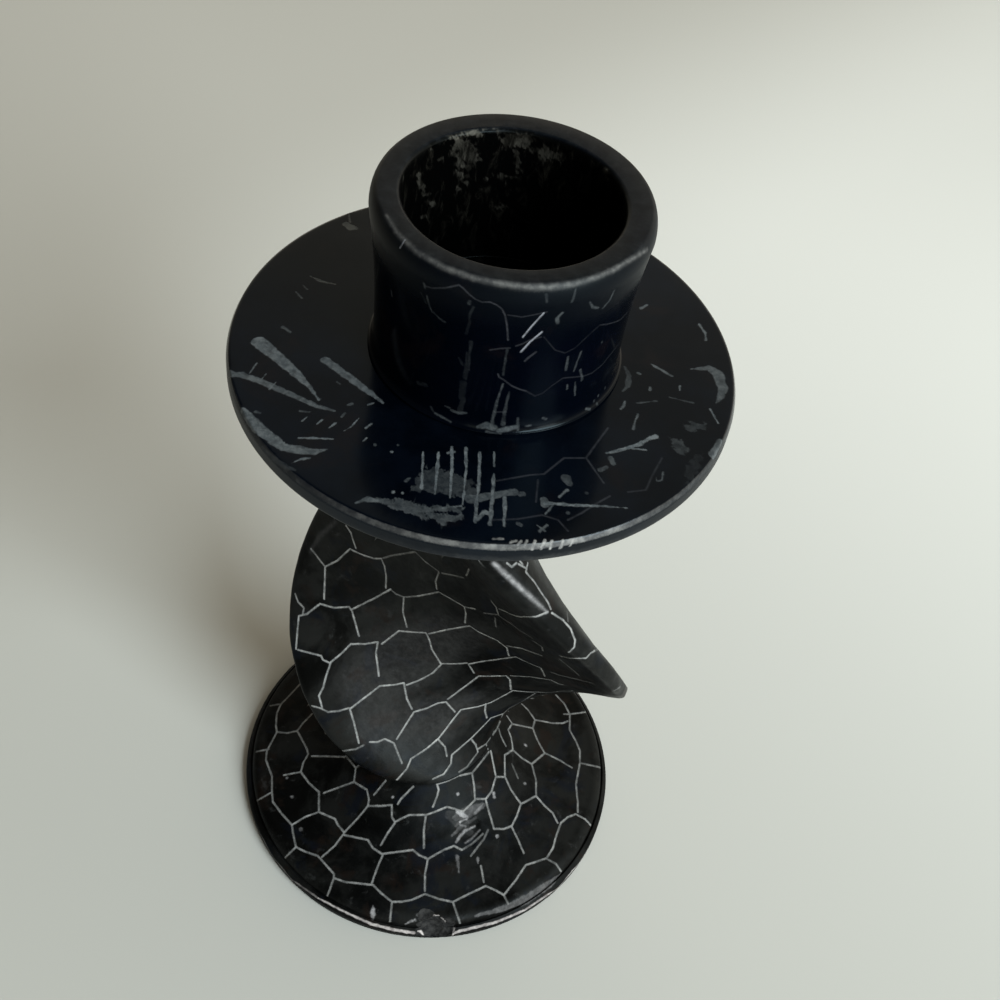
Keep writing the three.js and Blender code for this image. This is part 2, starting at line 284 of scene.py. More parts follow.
BASE_LINES = [
    ([(300, 684), (281, 704), (277, 713), (276, 726), (277, 732), (267, 751), (266, 760)], 0.7),
    ([(266, 760), (272, 776), (272, 792), (273, 802), (282, 814), (292, 825), (293, 833), (296, 847)], 0.7),
    ([(281, 704), (267, 706)], 0.5),
    ([(269, 749), (256, 752)], 0.5),
    ([(272, 792), (255, 802)], 0.8),
    ([(296, 847), (283, 860)], 0.9),
    ([(277, 732), (287, 733), (297, 731), (303, 723), (312, 714)], 0.7),
    ([(298, 732), (307, 749), (308, 754), (303, 763), (301, 772), (309, 783), (319, 792), (319, 812)], 0.85),
    ([(312, 756), (345, 757)], 0.9),
    ([(301, 772), (284, 775)], 0.8),
    ([(292, 825), (305, 817), (319, 812), (335, 819), (338, 825), (344, 832)], 1.0),
    ([(344, 833), (359, 817), (368, 806), (381, 806), (392, 805), (392, 817), (395, 822)], 0.95),
    ([(395, 822), (409, 815), (426, 815), (435, 812), (447, 807), (455, 809), (464, 812)], 0.95),
    ([(324, 793), (354, 782), (367, 790), (369, 800), (368, 806)], 0.95),
    ([(346, 756), (356, 768), (354, 782)], 0.9),
    ([(356, 768), (362, 763)], 0.7),
    ([(388, 778), (374, 795)], 0.9),
    ([(416, 784), (401, 799), (398, 804)], 0.9),
    ([(395, 823), (388, 833), (381, 845)], 0.9),
    ([(426, 815), (424, 830), (424, 848)], 0.95),
    ([(433, 781), (437, 784), (439, 790), (437, 797), (433, 807)], 1.0),
    ([(437, 784), (447, 781), (458, 776), (472, 773), (474, 786), (475, 799), (486, 799)], 0.95),
    ([(486, 799), (492, 791), (496, 777), (505, 777), (511, 790), (521, 804)], 0.95),
    ([(475, 800), (464, 811)], 0.9),
    ([(486, 800), (489, 812), (494, 829)], 0.9),
    ([(521, 804), (517, 816), (512, 826), (504, 829), (494, 829)], 0.95),
    ([(512, 827), (518, 839), (524, 853)], 0.8),
    ([(521, 804), (527, 801), (536, 796), (545, 806), (553, 813), (558, 823)], 0.95),
    ([(532, 764), (536, 780), (536, 796)], 0.6),
    ([(343, 835), (335, 846), (322, 857)], 0.95),
    ([(343, 835), (368, 840), (373, 848), (382, 854), (413, 850), (419, 855), (428, 859)], 0.95),
    ([(428, 859), (444, 850), (454, 846), (462, 850)], 0.95),
    ([(383, 855), (378, 866), (372, 883)], 0.9),
    ([(428, 859), (425, 875), (425, 891)], 0.95),
    ([(296, 847), (306, 852), (318, 856), (334, 874), (334, 878), (345, 882), (373, 885)], 0.95),
    ([(373, 885), (381, 893), (392, 902), (401, 902), (412, 900), (425, 894), (439, 899)], 0.95),
    ([(439, 899), (453, 902), (469, 894), (486, 886), (495, 890), (504, 895), (516, 880)], 0.95),
    ([(516, 880), (526, 865), (536, 862), (547, 858), (553, 848), (556, 837), (561, 823)], 0.95),
    ([(561, 823), (568, 817), (576, 814), (585, 819), (592, 827)], 0.95),
    ([(334, 878), (326, 900)], 0.8),
    ([(392, 902), (390, 924)], 0.85),
    ([(453, 902), (461, 926)], 0.8),
    ([(504, 895), (508, 904)], 0.6),
    ([(547, 859), (556, 864), (562, 873)], 0.8),
    ([(481, 866), (484, 882)], 0.9),
    ([(488, 830), (484, 839), (471, 856)], 0.5),
    ([(462, 850), (472, 844), (483, 834)], 0.5),
    ([(578, 812), (578, 802), (576, 784), (580, 763), (580, 751), (576, 741), (570, 730)], 0.7),
    ([(570, 730), (570, 714), (564, 703), (556, 695)], 0.7),
    ([(580, 763), (603, 768)], 0.6),
    ([(564, 714), (570, 714), (588, 712)], 0.7),
    ([(522, 704), (528, 710), (535, 720), (533, 728), (537, 739), (544, 752)], 0.7),
    ([(535, 720), (552, 723), (563, 723), (568, 721)], 0.8),
    ([(533, 728), (512, 724), (508, 730), (511, 738), (513, 750), (505, 755), (505, 776)], 0.8),
    ([(507, 716), (512, 723)], 0.9),
    ([(513, 750), (522, 758), (532, 764), (545, 753), (561, 761), (572, 768)], 0.7),
    ([(499, 729), (501, 736), (506, 746)], 0.6),
    ([(491, 751), (496, 776)], 0.85),
    ([(512, 764), (518, 778)], 0.3),
]

# A painted highlight along the fin's rounded edge, and a faint pale streak near the top of the leaf's face
STEM_HIGHLIGHT_AND_SCUFF = [
    # Painted highlight: the bright streak of light along the fin's rounded edge
    ([(485, 555), (502, 571), (514, 582), (535, 601), (547, 612)], [0.2, 0.5, 0.5, 0.4, 0.1], 0.9),
    ([(310, 552), (320, 536), (335, 522)], [0.3, 0.8, 0.6], 0.09),
]

# Painted sheen: broad soft pale patches over the middle of the leaf's face
STEM_PAINTED_SHEEN = [
    ([(368, 685), (400, 660), (450, 635), (478, 630)], [9, 12, 9, 4], 0.055),
    ([(380, 722), (440, 718), (470, 700)], [8, 8, 4], 0.055),
    ([(360, 610), (390, 605)], 4, 0.02),
]

# Pale worn places, drips and dots on the base, with a painted highlight and sheen in the dent and painted
# sheen along the shoulder's front, and the worn edge of its flange
BASE_SCUFFS_AND_SHEEN = [
    # Round the dent: pale scrape streaks and dots, with a painted highlight and a soft painted sheen over the
    # dent itself
    ([(458, 812), (464, 815), (468, 817)], [0.7, 0.8, 0.5], 1.0),
    ([(461, 822), (467, 819)], 0.3, 0.8),
    ([(461, 825), (466, 826)], 0.35, 0.6),
    ([(475, 813), (480, 808), (483, 804)], [0.5, 0.5, 0.25], 0.5),
    ([(466, 812), (474, 809), (484, 805)], [0.9, 1.2, 0.6], 0.22),
    ([(452, 836), (457, 830)], 0.3, 0.3),
    ([(457, 856), (459, 872)], [0.5, 0.2], 0.35),
    ([(478, 858), (478, 863)], [0.4, 0.3], 0.5),
    ([(456, 826), (470, 814), (482, 804)], [0.4, 1.2, 0.5], 0.2),
    ([(452, 836), (462, 826), (476, 818)], [0.3, 0.8, 0.3], 0.16),
    ([(497, 836)], 0.5, 0.8),
    ([(450, 815), (462, 824), (470, 832)], [1.6, 2.0, 1.2], 0.07),
    ([(455, 818), (468, 812), (482, 806)], [1.0, 2.0, 0.9], 0.2),
    # Painted sheen: a soft pale band of light along the front of the rounded shoulder
    ([(475, 916), (503, 909), (525, 900), (549, 884), (560, 874)], [0.3, 1.0, 1.6, 1.4, 0.3], 0.26),
    ([(458, 794)], 0.5, 0.8),
    ([(494, 793), (494, 797)], 0.45, 0.8),
    ([(526, 745)], 0.5, 0.7),
    ([(525, 784)], 0.5, 0.7),
    ([(292, 797)], 0.5, 0.6),
    ([(287, 778)], 0.4, 0.6),
    ([(393, 797)], 0.4, 0.8),
    ([(373, 906), (373, 914), (373, 920)], [0.2, 0.9, 0.2], 0.8),
    ([(406, 924), (415, 920)], 0.35, 0.8),
    ([(418, 915)], 0.5, 0.25),
    ([(301, 829)], 0.6, 0.3),
]
BASE_WEAR = [
    ([(256, 826), (272, 856), (292, 880), (318, 898)], [0.15, 0.25, 0.3, 0.25], 0.3),
    ([(318, 898), (345, 912), (371, 924), (395, 930), (414, 933)], [0.25, 0.3, 0.4, 0.45, 0.45], 0.9),
    ([(453, 929), (453, 935)], 0.3, 0.9),
    ([(455, 933), (460, 931), (497, 922), (525, 910)], [0.5, 0.45, 0.4, 0.35], 0.7),
    ([(525, 910), (558, 888), (580, 862), (595, 837)], [0.35, 0.3, 0.3, 0.25], 0.6),
    ([(433, 916), (438, 916)], 0.4, 1.0),
    ([(440, 921), (444, 925)], 0.25, 0.45),
    ([(420, 932), (424, 933), (428, 938)], 0.25, 1.0),
]

# A shallow scoop in the dome's front, with sharp little ridges across it
DENT_PIXEL = (468, 826)
DENT_HALF_WIDTH = 2.3
DENT_HALF_LENGTH = 3
DENT_DEPTH = 0.26
RIDGE_RISE = 0.11
DENT_RIDGES = [
    ([(456, 842), (460, 836), (466, 830), (475, 826)], [0.3, 0.45, 0.45, 0.25], 0.9),
    ([(465, 843), (472, 838), (480, 830)], [0.2, 0.3, 0.2], 0.6),
]

# The chip in the base's front edge: four balls that take stone away, each with the pixel it is
# nearest to, its radius and how far its middle is outside the surface there. They all lie
# above the edge, at this rise in radians.
CHIP_BALLS = [((433, 931), 3.4, 2.05), ((426, 912), 1.8, 1.4), ((446, 926), 1.9, 1.3), ((440, 935), 2.2, 1.2)]
CHIP_RISE = 0.7

# Scuffs on the pan
PAN_SCUFFS = [
    ([(259, 342), (279, 358), (299, 376), (310, 387), (319, 400)], [1.7, 1.5, 1.0, 0.5, 0.2], 0.6),
    ([(325, 360), (350, 378), (369, 392), (383, 403)], [1.0, 1.0, 0.7, 0.2], 0.6),
    ([(229, 374), (242, 375), (263, 382), (281, 390), (299, 398), (317, 406), (335, 411)],
     [0.9, 0.9, 0.8, 0.8, 0.7, 0.6, 0.2], 0.48),
    ([(243, 411), (252, 421), (263, 432), (274, 439), (283, 443)], [0.9, 1.3, 1.5, 1.2, 0.4], 0.6),
    ([(269, 442), (283, 447), (299, 450), (315, 452), (328, 449)], [0.3, 1.0, 1.2, 0.8, 0.1], 0.56),
    ([(292, 463), (301, 459), (310, 458)], [0.1, 0.35, 0.3], 0.72),
    ([(299, 438), (314, 438), (333, 439)], [0.2, 0.3, 0.15], 0.8),
    ([(302, 421), (307, 417)], 0.2, 0.72),
    ([(317, 424), (322, 420)], 0.2, 0.72),
    ([(329, 428), (336, 423)], 0.2, 0.72),
    ([(344, 431), (352, 426), (359, 418)], [0.15, 0.25, 0.15], 0.8),
    ([(249, 374), (257, 363)], 0.15, 0.64),
    ([(261, 380), (266, 374)], [0.15, 0.2], 0.64),
    ([(270, 389), (276, 382)], [0.2, 0.15], 0.64),
    ([(311, 276), (321, 281), (335, 284)], [0.15, 0.4, 0.2], 0.64),
    ([(303, 285), (307, 289)], 0.2, 0.4),
    ([(296, 292), (302, 298)], 0.2, 0.48),
    ([(346, 224), (351, 227), (356, 228)], [0.9, 1.1, 0.6], 0.8),
    ([(349, 214), (350, 222)], [0.2, 0.3], 0.56),
    ([(283, 327), (290, 332)], [0.4, 0.3], 0.32),
    ([(423, 452), (422, 488)], [0.22, 0.3], 0.8),
    ([(439, 452), (437, 470), (435, 494)], [0.22, 0.35, 0.2], 0.8),
    ([(452, 447), (452, 470), (450, 498)], [0.3, 0.35, 0.2], 0.8),
    ([(466, 448), (466, 470), (463, 504)], [0.3, 0.3, 0.2], 0.8),
    ([(480, 452), (479, 480), (475, 522)], [0.3, 0.35, 0.3], 0.72),
    ([(494, 452), (494, 466)], 0.22, 0.64),
    ([(494, 474), (493, 490), (491, 512)], [0.3, 0.3, 0.4], 0.64),
    ([(505, 498), (504, 526)], [0.4, 0.3], 0.72),
    ([(448, 453), (454, 452)], 0.25, 0.64),
    ([(356, 503), (368, 499), (378, 501)], [0.2, 0.7, 0.4], 0.56),
    ([(443, 508), (452, 507), (461, 506)], [0.2, 0.25, 0.2], 0.56),
    ([(470, 499), (485, 497), (500, 494), (515, 492)], [1.2, 1.0, 0.8, 0.9], 0.4),
    ([(477, 520), (484, 512), (491, 514), (490, 524)], [0.3, 0.5, 0.5, 0.4], 0.64),
    ([(566, 478), (569, 483)], [1.1, 0.9], 0.28),
    ([(544, 500), (545, 504)], [0.9, 1.0], 0.4),
    ([(521, 494), (523, 494)], [0.7, 0.6], 0.28),
    ([(519, 524), (521, 525)], [0.6, 0.5], 0.28),
    ([(537, 525), (545, 531)], [0.15, 0.3], 0.48),
    ([(540, 531), (547, 525)], [0.3, 0.15], 0.48),
    ([(663, 472), (662, 480), (657, 481), (656, 477)], 0.18, 0.4),
    ([(348, 405), (352, 404)], 0.25, 0.32),
    ([(300, 411), (309, 412)], 0.25, 0.24),
    ([(256, 412), (260, 413)], 0.3, 0.24),
    ([(341, 417), (345, 413)], 0.2, 0.28),
    ([(368, 405), (374, 403)], 0.25, 0.48),
    ([(366, 428), (371, 424)], 0.3, 0.64),
    ([(363, 441), (367, 438)], 0.2, 0.64),
    ([(337, 382), (340, 384)], 0.2, 0.32),
    ([(375, 445)], 0.3, 0.28),
    ([(392, 452)], 0.3, 0.8),
    ([(398, 445)], 0.3, 0.2),
    ([(393, 492)], 0.35, 0.72),
    ([(403, 493)], 0.3, 0.64),
    ([(405, 481), (410, 478)], 0.25, 0.4),
    ([(262, 447), (272, 458), (284, 466), (295, 470)], [0.3, 0.7, 0.6, 0.2], 0.13),
    ([(568, 513)], 0.4, 0.28),
    ([(587, 493)], 0.35, 0.16),
    ([(546, 503), (570, 505), (600, 506), (628, 508)], [0.5, 0.35, 0.25, 0.12], 0.8),
    ([(554, 504), (545, 514)], [0.3, 0.2], 0.56),
    ([(567, 490), (559, 497)], [0.35, 0.25], 0.56),
    ([(607, 453), (625, 449), (640, 444), (648, 439), (656, 436)], [0.4, 0.45, 0.5, 0.4, 0.6], 0.8),
    ([(630, 448), (646, 450)], [0.25, 0.2], 0.64),
    ([(611, 458), (613, 463)], 0.6, 0.32),
    ([(600, 470), (606, 467)], 0.5, 0.28),
    ([(710, 409), (718, 423)], [0.15, 0.2], 0.8),
    ([(713, 455), (720, 441)], [1.0, 0.7], 0.4),
    ([(691, 369), (709, 368), (718, 374), (723, 388), (721, 396), (716, 403)],
     [0.2, 0.9, 1.4, 1.2, 0.8, 0.1], 0.42),
    ([(699, 324), (705, 333), (706, 340)], [0.2, 0.3, 0.15], 0.56),
    ([(680, 386), (680, 390)], 0.3, 0.8),
    ([(650, 387), (650, 390)], 0.25, 0.56),
    ([(638, 373), (640, 374)], 0.3, 0.56),
    ([(641, 308), (647, 305)], [0.35, 0.25], 0.56),
    ([(651, 364), (672, 376)], [0.2, 0.3], 0.48),
    ([(637, 403), (657, 401)], 0.2, 0.24),
    ([(669, 397), (693, 403)], 0.2, 0.24),
    ([(625, 367), (629, 376), (628, 386), (623, 391)], [0.3, 0.6, 0.6, 0.2], 0.2),
    ([(625, 401), (624, 406), (621, 409)], [0.2, 0.25, 0.15], 0.48),
    ([(638, 414), (635, 422), (633, 429)], [0.25, 0.2, 0.3], 0.48),
]

# Faint ragged haze on the pan
PAN_HAZE = [
    ([(414, 489), (425, 484), (434, 480), (450, 484), (465, 490), (476, 496)],
     [0.5, 2.0, 3.4, 3.2, 2.4, 1.0], 0.2),
    ([(427, 468), (431, 478)], [0.1, 0.9], 0.2),
    ([(452, 472), (460, 480)], [0.1, 0.9], 0.2),
    ([(378, 501), (400, 504), (418, 511), (426, 517)], [0.6, 1.7, 1.3, 0.3], 0.34),
    ([(425, 511), (443, 508), (461, 510)], [0.6, 0.9, 0.7], 0.34),
    ([(427, 513), (443, 519), (459, 517)], [0.3, 1.4, 0.8], 0.34),
    ([(691, 427), (702, 426)], [1.3, 1.1], 0.15),
    ([(676, 442), (681, 449)], [1.3, 1.4], 0.18),
    ([(700, 455), (692, 470), (688, 480)], [0.6, 1.4, 0.8], 0.05),
]

# The worn band on the pan's bevel: how grey it is in each direction, in degrees, and ticks across it
RIM_TURNS = (-180, -140, -115, -95, -80, -68, -55, -45, -30, 0, 40, 90, 180)
RIM_GREYS = (0.04, 0.05, 0.12, 0.28, 0.5, 0.56, 0.34, 0.16, 0.06, 0.05, 0.05, 0.05, 0.04)
PAN_TICKS = [
    ([(493, 539), (503, 539)], 0.25, 0.8),
    ([(510, 543), (516, 541)], 0.25, 0.9),
    ([(518, 545), (521, 541)], 0.25, 0.9),
    ([(524, 547), (527, 541)], 0.25, 0.9),
    ([(532, 549), (535, 541)], 0.3, 1.0),
    ([(541, 549), (545, 540)], 0.3, 1.0),
    ([(550, 549), (552, 541)], 0.3, 1.0),
    ([(560, 548), (563, 541)], 0.3, 0.9),
    ([(570, 546), (573, 540)], 0.25, 0.8),
]

# Thin worn lines on the pan
PAN_LINES = [
    ([(496, 481), (530, 475), (544, 474), (564, 458), (586, 458), (608, 428)], 0.2, 0.11),
    ([(587, 459), (604, 483)], 0.2, 0.11),
    ([(538, 480), (536, 502)], 0.2, 0.08),
    ([(490, 520), (518, 519), (542, 515), (558, 520), (568, 531)], 0.2, 0.09),
    ([(610, 496), (594, 505), (582, 513), (568, 520)], 0.2, 0.11),
    ([(628, 492), (646, 490), (652, 476), (662, 458)], 0.2, 0.07),
]

# Scratches and scuffs on the cup, with a painted highlight edge on the lip and a painted reflection edge on
# the body
CUP_SCUFFS_AND_SHEEN = [
    ([(474, 307), (470, 314), (469, 320)], 0.25, 0.08),
    ([(470, 320), (468, 328), (466, 334)], 0.3, 0.04),
    ([(471, 342), (470, 350), (469, 360), (469, 370)], [0.45, 0.3, 0.25, 0.2], 0.08),
    ([(467, 352), (466, 362), (466, 370)], 0.2, 0.06),
    ([(459, 358), (463, 365)], 0.2, 0.06),
    ([(467, 365), (465, 378)], 0.5, 0.06),
    ([(463, 383), (462, 398)], 0.8, 0.04),
    ([(464, 398), (460, 410)], [0.5, 0.6], 0.06),
    ([(470, 301), (469, 304)], 0.25, 0.19),
    ([(445, 406), (450, 408)], 0.2, 0.22),
    ([(451, 410), (458, 413), (466, 413)], [0.25, 0.35, 0.3], 0.3),
    ([(431, 407), (433, 411)], 0.25, 0.15),
    ([(435, 413), (442, 417), (451, 422)], 0.2, 0.3),
    ([(421, 293), (426, 303)], 0.2, 0.08),
    ([(427, 296), (429, 305), (432, 312)], 0.22, 0.15),
    ([(434, 313), (439, 318), (445, 322)], 0.22, 0.13),
    ([(424, 284), (425, 288)], 0.3, 0.19),
    ([(391, 290), (392, 296)], 0.25, 0.19),
    ([(418, 383), (426, 385)], 0.5, 0.09),
    ([(503, 384), (498, 398), (495, 410), (492, 424)], [0.2, 0.25, 0.3, 0.3], 0.25),
    ([(509, 392), (506, 405), (503, 424)], [0.15, 0.35, 0.45], 0.15),
    ([(507, 350), (505, 362), (503, 375)], 0.2, 0.15),
    ([(478, 427), (486, 425), (494, 428)], [0.3, 0.8, 0.7], 0.34),
    ([(498, 431), (507, 429), (516, 427)], [0.4, 0.6, 0.5], 0.38),
    ([(486, 432), (500, 434)], [0.2, 0.3], 0.22),
    ([(518, 418), (518, 430)], 0.25, 0.22),
    ([(526, 426), (531, 425.5)], 0.2, 0.26),
    ([(543, 418), (546, 419)], 0.3, 0.26),
    ([(562, 313), (557, 318), (558, 323)], 0.35, 0.26),
    ([(546, 295), (547, 302)], 0.25, 0.11),
    ([(576, 288), (574, 296), (572, 302)], 0.22, 0.17),
    ([(590, 302), (593, 307), (598, 308)], [0.15, 0.4, 0.3], 0.22),
    # Painted highlight: the edge of the pale highlight on the lip
    ([(614, 291), (610, 300), (603, 308)], 0.22, 0.19),
    ([(568, 357), (567, 362), (566, 370)], 0.25, 0.19),
    ([(581, 352), (577, 362), (574, 371)], 0.22, 0.21),
    ([(580, 370), (582, 377), (582, 380)], 0.25, 0.19),
    ([(567, 385), (567, 389)], 0.22, 0.19),
    ([(575, 382), (575, 395)], 0.22, 0.22),
    ([(598, 396)], 0.25, 0.26),
    ([(594, 401)], 0.35, 0.3),
    ([(597, 404)], 0.25, 0.19),
    ([(586, 409), (590, 409)], 0.25, 0.3),
    ([(605, 388)], 0.35, 0.15),
    ([(602, 342)], 0.35, 0.11),
]
CUP_LINES_AND_REFLECTION_EDGE = [
    ([(425, 286), (432, 288), (445, 288), (459, 285), (463, 288), (469, 294), (475, 299)], 0.18, 0.12),
    ([(475, 299), (482, 302), (490, 302), (497, 305), (502, 309), (505, 315), (507, 325), (508, 340)],
     0.18, 0.14),
    ([(490, 350), (500, 348.5), (510, 348)], 0.18, 0.08),
    ([(498, 374), (499, 377), (504, 380), (512, 386), (519, 389), (526, 391)], 0.18, 0.11),
    ([(526, 391), (535, 396), (543, 393), (550, 387), (563, 378)], 0.18, 0.04),
    ([(495, 412), (506, 412)], 0.18, 0.07),
    ([(523, 337), (532, 326), (544, 313)], 0.18, 1.0),
    ([(521, 352), (530, 342), (542, 332)], 0.2, 1.0),
    ([(516, 346), (522, 344), (530, 340), (541, 337)], 0.18, 0.09),
    ([(525, 361), (528, 358), (536, 352)], 0.25, 0.1),
    ([(508, 315), (522, 317), (533, 315), (547, 312)], 0.16, 0.08),
    ([(544, 337), (550, 344), (555, 350), (565, 353), (575, 348), (592, 332), (600, 325)], 0.16, 0.04),
    # Painted reflection: the crisp edge of a paler reflection on the body's right side
    ([(600, 325), (608, 324), (615, 322), (620, 320), (627, 313), (633, 302), (640, 290)], 0.16, 0.07),
    ([(563, 378), (575, 377), (584, 376), (592, 373), (602, 365), (610, 355), (620, 342)], 0.16, 0.06),
    ([(400, 248), (405, 240)], 0.14, 1.0),
]

# The worn edge of the cup's rim, with a painted highlight along it that widens to the right, and what is left
# of wax in its bore
CUP_WEAR_AND_HIGHLIGHT = [
    ([(386, 215), (397, 233), (416, 251), (443, 267), (470, 277), (497, 283)],
     [0.1, 0.3, 0.4, 0.4, 0.4, 0.45], 0.31),
    ([(497, 283), (527, 287), (555, 287), (585, 281), (613, 270), (647, 250)],
     [0.45, 0.5, 0.5, 0.4, 0.35, 0.25], 0.34),
]
BORE_WAX = [
    ([(446, 140), (465, 133), (480, 129), (497, 127)], [0.3, 0.5, 0.5, 0.3], 0.6),
    ([(457, 146), (466, 152), (474, 160)], [1.6, 2.2, 1.4], 0.21),
    ([(460, 160), (458, 193)], [0.5, 0.2], 0.24),
    ([(470, 165), (466, 183)], [0.5, 0.2], 0.24),
    ([(508, 140), (518, 141), (528, 140)], [1.4, 2.0, 1.2], 0.24),
    ([(517, 150), (518, 173)], [0.5, 0.2], 0.24),
    ([(535, 150), (547, 153), (560, 157)], [0.8, 1.5, 0.9], 0.18),
    ([(418, 175), (424, 190), (432, 205)], [0.4, 0.6, 0.3], 0.21),
    ([(423, 217)], 0.4, 0.24),
    ([(403, 180)], 0.3, 0.3),
    ([(433, 147)], 0.3, 0.3),
    ([(439, 160)], 0.35, 0.54),
    ([(488, 178), (500, 175), (513, 177)], 0.2, 0.24),
    ([(607, 170), (608, 182)], 0.25, 0.36),
    ([(502, 207)], 0.9, 0.12),
]


def smooth(value, low, high):
    """0 below low, 1 above high, and an even rise between them."""
    share = np.clip((value - low) / (high - low), 0, 1)
    return share * share * (3 - 2 * share)


def band(value, start, full, fading, end):
    """0 outside start and end, 1 from full to fading, with even slopes between."""
    return smooth(value, start, full) * (1 - smooth(value, fading, end))


def mix(start, end, share):
    return start + (end - start) * share


def ripple(points, size, seed, waves=8):
    """Even unevenness from about -1 to 1, with swells of about that size in millimetres."""
    chance = np.random.default_rng(seed)
    total = np.zeros(len(points))
    for _ in range(waves):
        direction = chance.normal(size=3)
        direction /= np.linalg.norm(direction)
        length = size * chance.uniform(0.7, 1.7)
        total += np.sin(points @ direction * (ROUND / length) + chance.uniform(0, ROUND))
    return total / math.sqrt(waves)


def handwork(points, seed):
    """The slight swells that carving by hand leaves, in millimetres."""
    return 0.05 * ripple(points, 7, seed) + 0.02 * ripple(points, 2.5, seed + 1)


def heading(azimuth, rise):
    """The direction, one long, at that turn and that rise above the level, both in radians."""
    level = math.cos(rise)
    return level * math.cos(azimuth), level * math.sin(azimuth), math.sin(rise)


# The shapes, as functions of the place along the outline (u) and round it (v), in millimetres

def leaf_swell(share):
    bias = math.log(0.5) / math.log(WIDEST_HEIGHT / STEM_HEIGHT)
    return np.maximum(np.sin(math.pi * share ** bias), 0) ** LEAF_FULLNESS


def leaf_angle(share):
    rest = 1 - share
    lean = TURN_LEAN * share * rest
    neck = NECK_TURN * share * rest * (rest - share)
    return np.radians(FOOT_ANGLE - STEM_TURN * share + lean - neck)


def leaf_point(share, turn):
    """A point of the twisted leaf, at a share of its height and a turn round its section."""
    swell = leaf_swell(share)
    angle = leaf_angle(share)
    neck_width = mix(FOOT_HALF_WIDTH, TOP_HALF_WIDTH, share)
    neck_thickness = mix(FOOT_HALF_THICKNESS, TOP_HALF_THICKNESS, share)
    side = np.where(np.cos(turn) > 0, LOBE_HALF_WIDTH, FIN_HALF_WIDTH)
    across = np.cos(turn) * mix(neck_width, side, swell)
    thickness = mix(neck_thickness, LEAF_HALF_THICKNESS, swell)
    power = 1 - EDGE_SQUARENESS * swell
    through = thickness * np.sign(np.sin(turn)) * np.abs(np.sin(turn)) ** power
    x = STEM_BOW_X * swell + PAN_X * share + across * np.cos(angle) - through * np.sin(angle)
    y = STEM_BOW_Y * swell + PAN_Y * share + across * np.sin(angle) + through * np.cos(angle)
    return np.stack([x, y, STEM_FOOT_Z + STEM_HEIGHT * share], -1)


def stem_point(along, turn):
    """The stem: the leaf from 0 to 1, and past both ends its flat end and then its pin hole."""
    share = np.clip(along, 0, 1)
    point = leaf_point(share, turn)
    past_foot = np.clip(-along, 0, 2)
    past_top = np.clip(along - 1, 0, 2)
    angle = turn + leaf_angle(share)
    centre_x = np.where(past_top > 0, PAN_X, 0)
    centre_y = np.where(past_top > 0, PAN_Y, 0)
    inward = np.minimum(past_foot + past_top, 1)
    point[:, 0] = mix(point[:, 0], centre_x + HOLE_RADIUS * np.cos(angle), inward)
    point[:, 1] = mix(point[:, 1], centre_y + HOLE_RADIUS * np.sin(angle), inward)
    point[:, 2] += np.maximum(past_foot - 1, 0) * HOLE_DEPTH_FOOT
    point[:, 2] -= np.maximum(past_top - 1, 0) * HOLE_DEPTH_TOP
    return point


def stem_levels():
    return [(1 - math.cos(math.pi * step / STEM_ROWS)) / 2 for step in range(STEM_ROWS + 1)]


def turned_shape(outline):
    """A shape turned from rows of (radius, height, centre x, centre y, squeeze across the leaf)."""
    rows = np.array(outline, float)
    level = np.arange(len(rows))
    lean = float(leaf_angle(0.0))

    def place(along, turn):
        radius, height, middle_x, middle_y, squeeze = (
            np.interp(along, level, rows[:, column]) for column in range(5)
        )
        forward = np.cos(turn - lean)
        aside = np.sin(turn - lean) * squeeze
        x = middle_x + radius * (forward * math.cos(lean) - aside * math.sin(lean))
        y = middle_y + radius * (forward * math.sin(lean) + aside * math.cos(lean))
        return np.stack([x, y, height], -1)

    return place


def arc_steps(count):
    return [math.pi / 2 * step / count for step in range(count + 1)]


def base_outline():
    bevel_foot = BASE_EDGE_BREAK + FLANGE_SIDE
    bevel_top = bevel_foot + FLANGE_BEVEL
    bevel_inside = BASE_RADIUS - FLANGE_BEVEL
    shoulder_foot = bevel_inside - SHOULDER_STEP
    groove = bevel_top - GROOVE_DEPTH
    rows = [(UNDERSIDE_RING, 0), (BASE_RADIUS - BASE_EDGE_BREAK, 0), (BASE_RADIUS, BASE_EDGE_BREAK)]
    rows += [(BASE_RADIUS, bevel_foot - SOFT_EDGE), (BASE_RADIUS - 0.04, bevel_foot + 0.02)]
    rows += [(BASE_RADIUS - SOFT_EDGE, bevel_foot + SOFT_EDGE)]
    rows += [(bevel_inside + 0.1, bevel_top - 0.08), (bevel_inside, bevel_top - 0.04)]
    rows += [(bevel_inside - 0.08, groove), (shoulder_foot + 0.02, groove)]
    for arc in arc_steps(SHOULDER_STEPS)[:-1]:
        inward = SHOULDER_WIDTH * (1 - math.cos(arc))
        rows.append((shoulder_foot - inward, bevel_top + SHOULDER_RISE * math.sin(arc)))
    rows = [(radius, height, 0, 0, 1) for radius, height in rows]
    sweep_foot = bevel_top + SHOULDER_RISE
    squeeze = FOOT_HALF_THICKNESS / FOOT_HALF_WIDTH
    for step in range(SWEEP_STEPS + 1):
        share = step / SWEEP_STEPS
        dome = DOME_RISE * math.sin(math.pi * share) * (1 - share)
        sweep = (BASE_HEIGHT - sweep_foot) * share ** SWEEP_POWER
        radius = mix(shoulder_foot - SHOULDER_WIDTH, FOOT_HALF_WIDTH, share)
        rows.append((radius, sweep_foot + dome + sweep, 0, 0, mix(1, squeeze, share ** 3)))
    for height in (BASE_HEIGHT, BASE_HEIGHT - HOLE_DEPTH_BASE):
        rows.append((HOLE_RADIUS, height, 0, 0, 1))
    return rows


